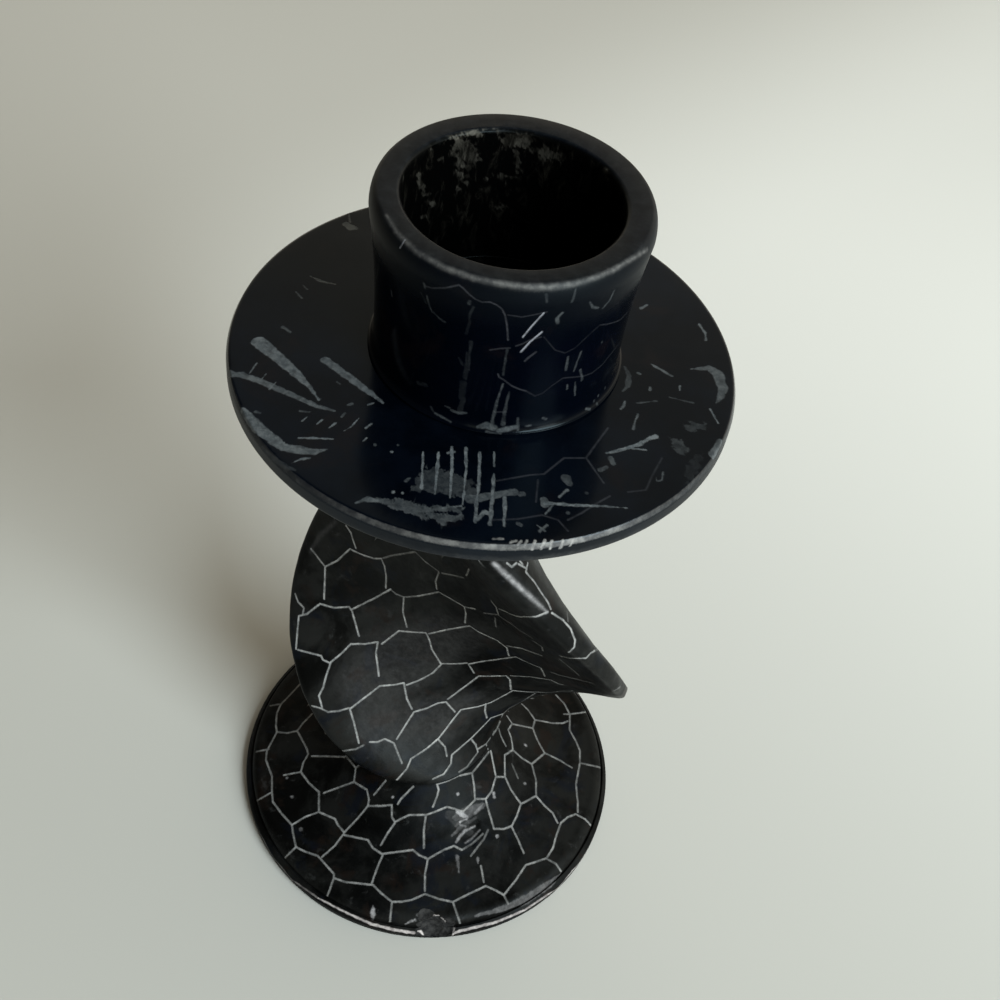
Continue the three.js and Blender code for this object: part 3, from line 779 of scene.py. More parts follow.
def pan_outline():
    side_top = PAN_THICKNESS - PAN_BEVEL_DROP
    bevel_inside = PAN_RADIUS - PAN_TOP_BEVEL
    rows = [(HOLE_RADIUS, 0), (PAN_RADIUS - PAN_UNDERCUT, 0)]
    for arc in arc_steps(6)[1:]:
        outward_step = PAN_UNDERCUT * math.sin(arc)
        rows.append((PAN_RADIUS - PAN_UNDERCUT + outward_step, PAN_UNDERCUT_RISE * (1 - math.cos(arc))))
    rows += [(PAN_RADIUS, side_top - 0.1), (PAN_RADIUS - 0.05, side_top + 0.1)]
    rows += [(bevel_inside + 0.06, PAN_THICKNESS - 0.1), (bevel_inside - 0.06, PAN_THICKNESS - 0.01)]
    rows += [(bevel_inside - 0.3, PAN_THICKNESS), (PAN_RADIUS - 2, PAN_THICKNESS)]
    rows += [(HOLE_RADIUS, PAN_THICKNESS), (HOLE_RADIUS, 0)]
    return [(radius, PAN_BOTTOM_Z + height, PAN_X, PAN_Y, 1) for radius, height in rows]


def cup_outline():
    lip_foot = CUP_HEIGHT - LIP_ROUND_DROP
    floor = CUP_HEIGHT - BORE_DEPTH
    outside = []
    for arc in arc_steps(FOOT_STEPS):
        inward = (CUP_FOOT_RADIUS - CUP_WAIST_RADIUS) * math.sin(arc)
        outside.append((CUP_FOOT_RADIUS - inward, CUP_FOOT_SWEEP * (1 - math.cos(arc))))
    for share in np.linspace(0, 1, 9):
        radius = mix(CUP_WAIST_RADIUS, CUP_LIP_RADIUS, share ** 2)
        outside.append((radius, mix(CUP_FLARE_START, lip_foot, share)))
    for arc in arc_steps(LIP_STEPS)[1:]:
        inward = LIP_ROUND_WIDTH * (1 - math.cos(arc))
        outside.append((CUP_LIP_RADIUS - inward, lip_foot + LIP_ROUND_DROP * math.sin(arc)))
    rim_inside = BORE_RADIUS + BORE_CHAMFER
    inside = [(rim_inside + 0.15, CUP_HEIGHT), (rim_inside, CUP_HEIGHT - 0.03)]
    inside += [(BORE_RADIUS, CUP_HEIGHT - BORE_CHAMFER)]
    inside += [(BORE_RADIUS, CUP_HEIGHT - BORE_DEPTH * share) for share in (0.1, 0.35, 0.7, 0.99)]
    inside += [(radius, floor) for radius in (BORE_RADIUS, BORE_RADIUS - 0.15, BORE_FLOOR_RING)]
    rows = [(HOLE_RADIUS, HOLE_DEPTH_CUP, PAN_X, PAN_Y), (HOLE_RADIUS, 0, PAN_X, PAN_Y)]
    rows += [(*row, CUP_X, CUP_Y) for row in outside]
    rows += [(*row, CUP_X + BORE_SHIFT_X, CUP_Y + BORE_SHIFT_Y) for row in inside]
    return [(radius, CUP_BOTTOM_Z + height, x, y, 1) for radius, height, x, y in rows]


# Meshes that are split finer only where their detail needs it. The triangles that take a split
# one's place are given by its corners, 0 to 2, and the middles of its sides, 3 to 5.

SPLITS = {1: [(0, 3, 2), (3, 1, 2)], 2: [(3, 1, 4), (0, 3, 4), (0, 4, 2)]}
FULL_SPLIT = [(0, 3, 5), (3, 1, 4), (5, 4, 2), (3, 4, 5)]


def even_grid(levels, columns):
    """Triangles over every (u, v), with v going round and closing on itself."""
    along = np.repeat(np.array(levels, float), columns)
    turn = np.tile(np.arange(columns) * ROUND / columns, len(levels))
    low = np.arange((len(levels) - 1) * columns)
    beside = low - low % columns + (low + 1) % columns
    first = np.stack([low, beside, beside + columns], -1)
    second = np.stack([low, beside + columns, low + columns], -1)
    return along, turn, np.concatenate([first, second])


def split_longest(sheet, place, fineness):
    """One pass that halves each edge that is longer than the fineness wanted at its middle."""
    along, turn, faces = sheet
    edges = np.concatenate([faces[:, [0, 1]], faces[:, [1, 2]], faces[:, [2, 0]]])
    edges = np.sort(edges, 1)
    keys = edges[:, 0] * len(along) + edges[:, 1]
    _, first, owner = np.unique(keys, return_index=True, return_inverse=True)
    start, end = edges[first].T
    owner = owner.reshape(3, -1).T
    mid_along = (along[start] + along[end]) / 2
    gap = (turn[end] - turn[start] + math.pi) % ROUND - math.pi
    mid_turn = turn[start] + gap / 2
    points = place(along, turn)
    length = np.linalg.norm(points[start] - points[end], axis=1)
    wanted = length > fineness(mid_along, mid_turn, length)
    number = np.cumsum(wanted) - 1 + len(along)
    marks = wanted[owner]
    count = marks.sum(1)
    corners = np.concatenate([faces, number[owner]], 1)
    parts = [faces[count == 0]]
    for shift in range(3):
        order = np.roll(np.arange(3), -shift)
        turned = corners[:, np.concatenate([order, order + 3])]
        for sides, triangles in SPLITS.items():
            rows = (count == sides) & marks[:, order[:sides]].all(1)
            parts += [turned[rows][:, triangle] for triangle in triangles]
    parts += [corners[count == 3][:, triangle] for triangle in FULL_SPLIT]
    along = np.concatenate([along, mid_along[wanted]])
    turn = np.concatenate([turn, mid_turn[wanted]])
    return (along, turn, np.concatenate(parts)), int(wanted.sum())


def fine_sheet(sheet, place, fineness, passes=9):
    for _ in range(passes):
        sheet, count = split_longest(sheet, place, fineness)
        if count == 0:
            break
    return sheet


def outward(place, along, turn):
    """The surface's unit normal at each (u, v), by small steps both ways."""
    small_turn = 0.004
    small_along = 0.003
    round_way = place(along, turn + small_turn) - place(along, turn - small_turn)
    up_way = place(along + small_along, turn) - place(along - small_along, turn)
    normal = np.cross(round_way, up_way)
    return normal / np.maximum(np.linalg.norm(normal, axis=1, keepdims=True), 1e-12)


def closing_fan(along, turn, level, faces_up, middle):
    """The open ring at that level, and a fan of triangles over it round the new middle point."""
    ring = np.flatnonzero(np.abs(along - level) < TINY)
    ring = ring[np.argsort(turn[ring] % ROUND)]
    following = np.roll(ring, -1)
    sides = (ring, following) if faces_up else (following, ring)
    return ring, np.stack([np.full(len(ring), middle), *sides], -1)


def build_piece(name, sheet, place, fineness, fields, ends, material):
    """Makes the object: a split sheet moved by the fields' lift, closed ends, masks as attributes."""
    along, turn, faces = fine_sheet(sheet, place, fineness)
    points = place(along, turn)
    normals = outward(place, along, turn)
    masks = fields(along, turn, points, normals)
    points = points + normals * masks.pop("lift")[:, None] + masks.pop("shift", 0)
    for level, faces_up in ends:
        ring, fan = closing_fan(along, turn, level, faces_up, len(points))
        points = np.concatenate([points, points[ring].mean(0, keepdims=True)])
        faces = np.concatenate([faces, fan])
    mesh = bpy.data.meshes.new(name)
    mesh.vertices.add(len(points))
    mesh.vertices.foreach_set("co", (points * MM).astype(np.float32).ravel())
    mesh.loops.add(len(faces) * 3)
    mesh.loops.foreach_set("vertex_index", faces.astype(np.int32).ravel())
    mesh.polygons.add(len(faces))
    mesh.polygons.foreach_set("loop_start", np.arange(0, len(faces) * 3, 3, dtype=np.int32))
    mesh.update(calc_edges=True)
    mesh.validate()
    mesh.shade_smooth()
    for key, values in masks.items():
        layer = mesh.attributes.new(key, "FLOAT", "POINT")
        padded = np.zeros(len(mesh.vertices), np.float32)
        padded[:len(values)] = values
        layer.data.foreach_set("value", padded)
    piece = bpy.data.objects.new(name, mesh)
    bpy.context.scene.collection.objects.link(piece)
    mesh.materials.append(material)
    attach(piece, "root")
    print(name, len(mesh.vertices), "vertices", len(mesh.polygons), "faces")
    return piece


# Places on the surfaces under the photograph's pixels

def stone_shapes():
    """The four stone pieces as coarse sheets, each with its function of the place."""
    shapes = {"stem": (even_grid(stem_levels(), COARSE_COLUMNS), stem_point)}
    for name, outline in (("base", base_outline()), ("pan", pan_outline()), ("cup", cup_outline())):
        shapes[name] = (even_grid(np.arange(len(outline)), EYE_COLUMNS), turned_shape(outline))
    return shapes


def coarse_tree(shapes):
    """The sheets as one tree of triangles, to find what a ray meets first."""
    vertices = []
    faces = []
    for sheet, place in shapes:
        faces.extend((sheet[2] + len(vertices)).tolist())
        vertices.extend(Vector(point) for point in place(sheet[0], sheet[1]))
    return BVHTree.FromPolygons(vertices, faces)


def first_hit(trees, pixel):
    """The piece that the pixel's ray meets first, and where, in millimetres."""
    focal = LENS_MM / SENSOR_MM * PHOTO_SIZE
    right, up, forward = Vector(CAMERA_RIGHT), Vector(CAMERA_UP), Vector(CAMERA_FORWARD)
    half = PHOTO_SIZE / 2
    direction = forward * focal + right * (pixel[0] - half) - up * (pixel[1] - half)
    direction.normalize()
    piece, spot, nearest = None, None, math.inf
    for name, tree in trees.items():
        place, _, _, distance = tree.ray_cast(Vector(CAMERA_PLACE) / MM, direction)
        if place is not None and distance < nearest:
            piece, spot, nearest = name, np.array(place), distance
    return piece, spot


def strokes_on(trees, piece, marks):
    """The marks as runs of (surface points, widths, strength), where their pixels fall on the piece."""
    runs = []
    for pixels, width, strength in marks:
        pixels = np.array(pixels, float)
        widths = np.broadcast_to(np.array(width, float), len(pixels))
        steps = np.linalg.norm(np.diff(pixels, axis=0), axis=1)
        corners = np.concatenate([[0], np.cumsum(steps)])
        even = np.linspace(0, corners[-1], math.ceil(corners[-1] / PIXEL_STEP) + 1)
        at = np.union1d(even, corners)
        last = None
        for x, y, wide in zip(*(np.interp(at, corners, values) for values in (*pixels.T, widths))):
            name, spot = first_hit(trees, (x, y))
            if name == piece:
                if last is None or math.dist(spot, last) > STROKE_JUMP:
                    runs.append(([], [], strength))
                runs[-1][0].append(spot)
                runs[-1][1].append(wide)
            last = spot if name == piece else None
    return [(np.array(spots), np.array(wides), strength) for spots, wides, strength in runs]


def engraved_strokes(trees, piece, lines, width):
    """The same for engraved lines, which all have one width."""
    return strokes_on(trees, piece, [(pixels, width, strength) for pixels, strength in lines])


def stroke_distance(points, line, widths):
    """How far each point is inside (below 0) or outside the stroke's outline."""
    best = np.full(len(points), FAR)
    margin = MARK_REACH + widths.max() / 2
    near = (points > line.min(0) - margin) & (points < line.max(0) + margin)
    near = np.flatnonzero(near.all(1))
    close = points[near]
    result = np.full(len(near), FAR)
    for step in range(max(len(line) - 1, 1)):
        after = min(step + 1, len(line) - 1)
        start = line[step]
        way = line[after] - start
        share = np.clip((close - start) @ way / max(way @ way, TINY), 0, 1)
        gap = np.linalg.norm(close - start - share[:, None] * way, axis=1)
        result = np.minimum(result, gap - mix(widths[step], widths[after], share) / 2)
    best[near] = result
    return best


def marks_field(points, runs, ragged=0.0, edge=0.1, seed=0):
    """The strongest mark at each point, and how near the closest outline is.

    Ragged is how far the outlines wander and edge how soft they are, in millimetres.
    """
    mask = np.zeros(len(points))
    nearest = np.full(len(points), FAR)
    rough = ragged * (ripple(points, 0.9, seed) + 0.6 * ripple(points, 0.4, seed + 1))
    for line, widths, strength in runs:
        gap = stroke_distance(points, line, widths)
        mask = np.maximum(mask, strength * (1 - smooth(gap + rough, -edge, edge)))
        nearest = np.minimum(nearest, np.abs(gap))
    return mask, nearest


def hidden_field(tree, place, levels):
    """A function of (u, v): 0 where the photograph sees the surface, 1 where it doesn't."""
    columns = EYE_COLUMNS
    turns = np.arange(columns) * ROUND / columns
    eye = Vector(CAMERA_PLACE) / MM
    table = np.ones((len(levels), columns))
    for row, level in enumerate(levels):
        for column, point in enumerate(place(np.full(columns, float(level)), turns)):
            way = Vector(point) - eye
            distance = tree.ray_cast(eye, way.normalized())[3]
            if distance is not None and distance > way.length - SEEN_SLACK:
                table[row, column] = 0

    def hidden(along, turn):
        row = np.interp(along, levels, np.arange(len(levels)))
        column = turn / ROUND * columns % columns
        low_row = np.minimum(row.astype(int), len(levels) - 2)
        low_column = column.astype(int) % columns
        next_column = (low_column + 1) % columns
        round_way = column - low_column
        low, high = (
            mix(table[level, low_column], table[level, next_column], round_way)
            for level in (low_row, low_row + 1)
        )
        return smooth(mix(low, high, row - low_row), 0.3, 0.7)

    return hidden


# The engraved network: traced lines, and borders between cells where the photograph doesn't look

def cell_seeds(sheet, place, spacing, seed):
    """Places and directions strewn evenly over the surface, one for each cell."""
    chance = np.random.default_rng(seed)
    corners = place(sheet[0], sheet[1])[sheet[2]]
    cross = np.cross(corners[:, 1] - corners[:, 0], corners[:, 2] - corners[:, 0])
    area = np.linalg.norm(cross, axis=1)
    pick = chance.choice(len(area), CANDIDATES, p=area / area.sum())
    weights = chance.dirichlet([1, 1, 1], len(pick))
    spots = (corners[pick] * weights[:, :, None]).sum(1)
    candidates = np.concatenate([spots, cross[pick] / area[pick][:, None] * NORMAL_REACH], 1)
    seeds = candidates[:1]
    for candidate in candidates:
        if np.linalg.norm(seeds - candidate, axis=1).min() > spacing:
            seeds = np.vstack([seeds, candidate])
    return seeds


def cell_borders(points, normals, seeds):
    """Distance to the nearest cell border, and how strongly that border is cut there."""
    wobble = np.stack([ripple(points, 5, 11 + axis) for axis in range(3)], -1) * 0.06
    query = np.concatenate([points + wobble, normals * NORMAL_REACH], 1)
    distance = np.empty(len(points))
    strength = np.empty(len(points))
    seed_square = (seeds ** 2).sum(1)
    for start in range(0, len(points), BORDER_PART):
        part = query[start:start + BORDER_PART]
        square = (part ** 2).sum(1)[:, None] + seed_square[None] - 2 * part @ seeds.T
        order = np.argpartition(square, 3, axis=1)[:, :4]
        values = np.take_along_axis(square, order, 1)
        rank = np.argsort(values, 1)
        order = np.take_along_axis(order, rank, 1)
        values = np.take_along_axis(values, rank, 1)
        first = seeds[order[:, 0]]
        gaps = []
        for other in (1, 2, 3):
            apart = np.linalg.norm(seeds[order[:, other]] - first, axis=1)
            gaps.append((values[:, other] - values[:, 0]) / (2 * apart))
        gaps = np.stack(gaps, -1)
        nearest = gaps.argmin(1)
        ranked = np.sort(gaps, 1)
        rows = np.arange(len(part))
        partner = order[rows, 1 + nearest]
        gaps[rows, nearest] = FAR
        third = order[rows, 1 + gaps.argmin(1)]
        lowest = np.minimum(order[:, 0], partner)
        highest = np.maximum(order[:, 0], partner)
        # Large primes make an even mixture of the cells' numbers, the same on both sides of a border
        turn = (lowest * 7919 + highest * 104729 + third * 15485863) % 1000 / 1000
        edge_turn = (lowest * 6151 + highest * 3571) % 1000 / 1000
        stop = np.where(turn < BROKEN_SHARE, BROKEN_LENGTH, 0.0)
        cut = smooth(ranked[:, 1], stop - 0.25, stop + 0.25) * (stop > 0) + (stop == 0)
        distance[start:start + BORDER_PART] = ranked[:, 0]
        strength[start:start + BORDER_PART] = cut * mix(0.6, 1.0, edge_turn)
    return distance, strength


def network(points, normals, unseen, seeds, width, rough):
    """The generated network on the unseen side: its strength, and how far its lines' edges are."""
    mask = np.zeros(len(points))
    gap = np.full(len(points), FAR)
    away = np.flatnonzero(unseen > 0)
    distance, strength = cell_borders(points[away], normals[away], seeds)
    half = width / 2 * (1 + rough * ripple(points[away], 2.2, 33))
    cut = 1 - smooth(distance, half - LINE_EDGE, half + LINE_EDGE)
    mask[away] = strength * unseen[away] * cut
    gap[away] = np.abs(distance - half)
    return mask, gap


def engraved(points, normals, unseen, runs, seeds, width):
    """How strongly a line is cut at each point, and how far the nearest line's edge is."""
    traced, traced_gap = marks_field(points, runs, ragged=0.012, edge=LINE_EDGE, seed=31)
    made, made_gap = network(points, normals, unseen, seeds, width, 0.12)
    mask = np.maximum(traced, made) * (0.9 + 0.1 * ripple(points, 1.2, 35))
    return mask, np.minimum(traced_gap, made_gap)


# Node helpers

class Nodes:
    """Short names for the nodes that the materials and the room are made of."""

    def __init__(self, tree, coordinates):
        self.tree = tree
        self.place = self.add("TexCoord").outputs[coordinates]

    def add(self, kind):
        return self.tree.nodes.new("ShaderNode" + kind)

    def link(self, source, target):
        self.tree.links.new(source, target)

    def feed(self, socket, value):
        if hasattr(value, "is_output"):
            self.link(value, socket)
        else:
            socket.default_value = value

    def noise(self, scale, detail=3.0, rough=0.5, distortion=0.0, stretch=None):
        node = self.add("TexNoise")
        settings = {"Scale": scale, "Detail": detail, "Roughness": rough, "Distortion": distortion}
        for name, value in settings.items():
            node.inputs[name].default_value = value
        place = self.place
        if stretch:
            mapping = self.add("Mapping")
            mapping.inputs["Scale"].default_value = stretch
            self.link(self.place, mapping.inputs["Vector"])
            place = mapping.outputs[0]
        self.link(place, node.inputs["Vector"])
        return node.outputs["Fac"]

    def ramp(self, value, low, high, start=0.0, end=1.0):
        node = self.add("MapRange")
        node.interpolation_type = "SMOOTHSTEP"
        for socket, number in zip(list(node.inputs)[:5], (value, low, high, start, end)):
            self.feed(socket, number)
        return node.outputs[0]

    def math(self, operation, first, second=0.0):
        node = self.add("Math")
        node.operation = operation
        self.feed(node.inputs[0], first)
        self.feed(node.inputs[1], second)
        return node.outputs[0]

    def blend(self, share, first, second):
        """From the first colour to the second; each is a socket or has three parts."""
        node = self.add("Mix")
        node.data_type = "RGBA"
        self.feed(node.inputs[0], share)
        for number, value in ((6, first), (7, second)):
            self.feed(node.inputs[number], value if hasattr(value, "is_output") else (*value, 1))
        return node.outputs[2]

    def grain(self, noise, low, high, dark, pale):
        """Two colours mixed by a noise, all dark below low and all pale above high.

        The noise is given as (scale, detail, roughness, distortion, stretch).
        """
        return self.blend(self.ramp(self.noise(*noise), low, high), dark, pale)

    def stain(self, under, noise, low, high, strength, colour):
        """Clouds of a colour over what is under them."""
        share = self.math("MULTIPLY", self.ramp(self.noise(*noise), low, high), strength)
        return self.blend(share, under, colour)

    def toward(self, azimuth, rise=0):
        """How nearly a place lies in that direction, from -1 to 1. The angles are in degrees."""
        node = self.add("VectorMath")
        node.operation = "DOT_PRODUCT"
        self.link(self.place, node.inputs[0])
        node.inputs[1].default_value = heading(math.radians(azimuth), math.radians(rise))
        return node.outputs["Value"]

    def mask(self, name):
        node = self.add("Attribute")
        node.attribute_name = name
        return node.outputs["Fac"]

    def bump(self, height, strength, distance, normal=None):
        node = self.add("Bump")
        node.inputs["Strength"].default_value = strength
        node.inputs["Distance"].default_value = distance
        self.link(height, node.inputs["Height"])
        if normal:
            self.link(normal, node.inputs["Normal"])
        return node.outputs[0]


def new_material(name, specular, tint=(1, 1, 1)):
    """A material with one surface shader, as the helper that its nodes are added with."""
    material = bpy.data.materials.new(name)
    material.use_nodes = True
    material.node_tree.nodes.clear()
    n = Nodes(material.node_tree, "Object")
    n.material = material
    n.shader = n.add("BsdfPrincipled")
    n.shader.inputs["Specular IOR Level"].default_value = specular
    n.shader.inputs["Specular Tint"].default_value = (*tint, 1)
    n.link(n.shader.outputs[0], n.add("OutputMaterial").inputs[0])
    return n


def carved_stone(name, specular, gloss_low, gloss_high, palest):
    """Satin black-dyed stone: mottled near black, with pale lines where a tool cut through the dye, and pale
    scuffs that also carry painted highlights and painted sheen.
    """
    n = new_material(name, specular, (0.86, 0.96, 1))
    stone = n.grain((120, 5, 0.65, 0.3), 0.42, 0.62, [0.12 * part for part in palest], palest)
    stone = n.stain(stone, (175, 4, 0.6, 0.6), 0.53, 0.66, 0.75, (0.0072, 0.0045, 0.0034))
    stone = n.stain(stone, (140, 4, 0.6, 0.9), 0.54, 0.68, 0.7, (0.0022, 0.0035, 0.0068))
    stone = n.stain(stone, (420, 4, 0.7, 0.4), 0.59, 0.74, 0.6, (0.024, 0.025, 0.025))
    pale = n.grain((900, 4, 0.7), 0.32, 0.68, (0.14, 0.145, 0.145), (0.34, 0.345, 0.34))
    colour = n.blend(n.mask("line"), stone, pale)
    # Pale grey where the scuff mask is: scuffs, and painted highlights and painted sheen
    dust_and_sheen = n.grain((1200, 4, 0.65), 0.35, 0.7, (0.16, 0.16, 0.165), (0.32, 0.32, 0.33))
    colour = n.blend(n.mask("scuff"), colour, dust_and_sheen)
    broken = n.grain((700, 4, 0.7), 0.35, 0.7, (0.009, 0.009, 0.0095), (0.032, 0.032, 0.032))
    colour = n.blend(n.mask("chip"), colour, broken)
    worn_and_highlight = n.grain((1100, 3, 0.6), 0.3, 0.75, (0.23, 0.21, 0.21), (0.55, 0.52, 0.51))
    colour = n.blend(n.mask("wear"), colour, worn_and_highlight)
    n.link(colour, n.shader.inputs["Base Color"])
    gloss = n.ramp(n.noise(240, 4, 0.6), 0.3, 0.7, gloss_low, gloss_high)
    dull = n.math("MAXIMUM", n.mask("line"), n.mask("chip"))
    n.link(n.ramp(dull, 0, 1, gloss, 0.8), n.shader.inputs["Roughness"])
    wide = n.bump(n.noise(420, 4, 0.6), 0.35, 0.00012)
    n.link(n.bump(n.noise(2600, 3, 0.6), 0.3, 0.00003, wide), n.shader.inputs["Normal"])
    return n.material


def polished_stone(name, specular, tint, palest):
    """Polished black stone with a blue tint, fine hairline scratches and pale scuffs, and painted highlights
    on the cup's lip and rim and a painted reflection edge on its body.
    """
    n = new_material(name, specular, tint)
    stone = n.grain((75, 5, 0.65), 0.36, 0.66, (0.0002, 0.0008, 0.0022), palest)
    stone = n.stain(stone, (130, 4, 0.6, 0.5), 0.55, 0.7, 0.5, (0.0045, 0.003, 0.0036))
    broken = n.ramp(n.noise(950, 4, 0.7), 0.36, 0.56, 0.55, 1.0)
    colour = n.blend(n.math("MULTIPLY", n.mask("line"), broken), stone, (0.2, 0.21, 0.24))
    # Pale grey over scuffs and haze, and over the cup's painted highlight edge
    grey = n.grain((1300, 4, 0.7, 0.8), 0.36, 0.66, (0.085, 0.1, 0.11), (0.17, 0.19, 0.2))
    colour = n.blend(n.math("MULTIPLY", n.mask("scuff"), broken), colour, grey)
    # Paler where worn, and along the cup's rim as a painted highlight
    worn_and_highlight = n.grain((1100, 3, 0.6), 0.35, 0.7, (0.14, 0.14, 0.14), (0.34, 0.34, 0.33))
    colour = n.blend(n.mask("wear"), colour, worn_and_highlight)
    streaks = (800, 5, 0.7, 0.6, (1, 1, 0.35))
    soot = n.grain(streaks, 0.52, 0.72, (0.0004, 0.0004, 0.0004), (0.0085, 0.008, 0.0065))
    colour = n.blend(n.mask("bore"), colour, soot)
    wax = n.grain(streaks, 0.4, 0.66, (0.016, 0.015, 0.012), (0.14, 0.135, 0.115))
    colour = n.blend(n.mask("wax"), colour, wax)
    n.link(colour, n.shader.inputs["Base Color"])
    gloss = n.ramp(n.noise(180, 4, 0.6), 0.3, 0.75, 0.12, 0.2)
    gloss = n.ramp(n.mask("bore"), 0, 1, gloss, 0.34)
    gloss = n.ramp(n.mask("dull"), 0, 1, gloss, 0.45)
    rough = n.math("MAXIMUM", n.mask("scuff"), n.math("MAXIMUM", n.mask("wear"), n.mask("wax")))
    n.link(n.ramp(rough, 0, 1, gloss, 0.75), n.shader.inputs["Roughness"])
    fine = n.bump(n.noise(600, 2, 0.5, 0.0, (1, 9, 1)), 0.05, 0.00002)
    n.link(n.bump(n.noise(300, 3), 0.06, 0.00008, fine), n.shader.inputs["Normal"])
    return n.material


def pin_steel():
    """Plain drawn steel for the hidden pins."""
    n = new_material("pin_steel", 0.5)
    drawn = n.noise(900, 3, 0.6, 0.0, (1, 1, 0.08))
    n.link(n.blend(drawn, (0.42, 0.42, 0.43), (0.6, 0.6, 0.61)), n.shader.inputs["Base Color"])
    n.shader.inputs["Metallic"].default_value = 1
    n.link(n.ramp(drawn, 0.3, 0.7, 0.3, 0.45), n.shader.inputs["Roughness"])
    return n.material


# The pieces. Along is a share of the height on the stem, and a row of the outline on the others.

def edge_wanted(gap, finest, coarsest):
    """Edge length wanted at that distance from the nearest mark's outline."""
    return np.clip(finest + 1.2 * (gap - FINE_EDGE), finest, coarsest)


def make_stem(material, trees, whole):
    inside = stem_levels()
    sheet = even_grid([-2, -1] + inside + [2, 3], STEM_COLUMNS)
    seeds = cell_seeds(even_grid(inside, STEM_COLUMNS), stem_point, STEM_CELL_SPACING, STEM_SEED)
    hidden = hidden_field(whole, stem_point, inside)
    runs = engraved_strokes(trees, "stem", STEM_LINES + NECK_LINES, STEM_LINE_WIDTH)
    scuff_and_highlight_strokes = strokes_on(trees, "stem", STEM_HIGHLIGHT_AND_SCUFF)
    sheen_strokes = strokes_on(trees, "stem", STEM_PAINTED_SHEEN)

    def fineness(along, turn, length):
        result = np.full(len(along), STEM_COARSEST)
        near = np.flatnonzero((along > 0) & (along < 1) & (length > FINE_EDGE))
        along, turn = along[near], turn[near]
        points = stem_point(along, turn)
        unseen = hidden(along, turn)
        normals = outward(stem_point, along, turn)
        _, gap = engraved(points, normals, unseen, runs, seeds, STEM_LINE_WIDTH)
        _, scuff_and_sheen_gap = marks_field(points, scuff_and_highlight_strokes)
        wanted = edge_wanted(gap, mix(FINE_EDGE, UNSEEN_EDGE, unseen), STEM_COARSE_EDGE)
        result[near] = np.minimum(wanted, edge_wanted(scuff_and_sheen_gap, 0.25, STEM_COARSE_EDGE))
        return result

    def fields(along, turn, points, normals):
        on_leaf = (along > 0.001) & (along < 0.999)
        line, _ = engraved(points, normals, hidden(along, turn), runs, seeds, STEM_LINE_WIDTH)
        line = line * on_leaf
        # The fin's pale stroke is a painted highlight, and the broad pale patches are painted sheen; both go
        # into the scuff mask
        scuff, _ = marks_field(points, scuff_and_highlight_strokes, ragged=0.02, edge=0.35, seed=43)
        dust_and_sheen, _ = marks_field(points, sheen_strokes, ragged=0.3, edge=2.4, seed=44)
        hand = handwork(points, 41) * band(along, 0, 0.03, 0.97, 1)
        zero = np.zeros(len(points))
        return {
            "lift": hand - LINE_DEPTH * line,
            "line": line,
            "scuff": np.maximum(scuff, dust_and_sheen) * on_leaf,
            "chip": zero,
            "wear": zero,
        }

    ends = [(-2, False), (3, True)]
    piece = build_piece("stem_carved", sheet, stem_point, fineness, fields, ends, material)
    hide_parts("twisted_stem")


def chip_balls(trees):
    """The middle and radius of each ball that broke stone out of the base's front edge."""
    balls = []
    for pixel, radius, reach in CHIP_BALLS:
        _, spot = first_hit(trees, pixel)
        way = np.array(heading(math.atan2(spot[1], spot[0]), CHIP_RISE))
        balls.append((spot + way * reach, radius))
    return balls


def chipped(points, balls):
    """The points pressed out of the balls, and how deep the deepest ball reaches at each."""
    rough = 1 + 0.035 * ripple(points, 1.6, 57) + 0.015 * ripple(points, 0.6, 58)
    moved = points.copy()
    deepest = np.full(len(points), -9.0)
    for middle, radius in balls:
        way = moved - middle
        reach = np.linalg.norm(way, axis=1)
        depth = radius * rough - reach
        moved += way / reach[:, None] * np.maximum(depth, 0)[:, None]
        deepest = np.maximum(deepest, depth)
    return moved, deepest


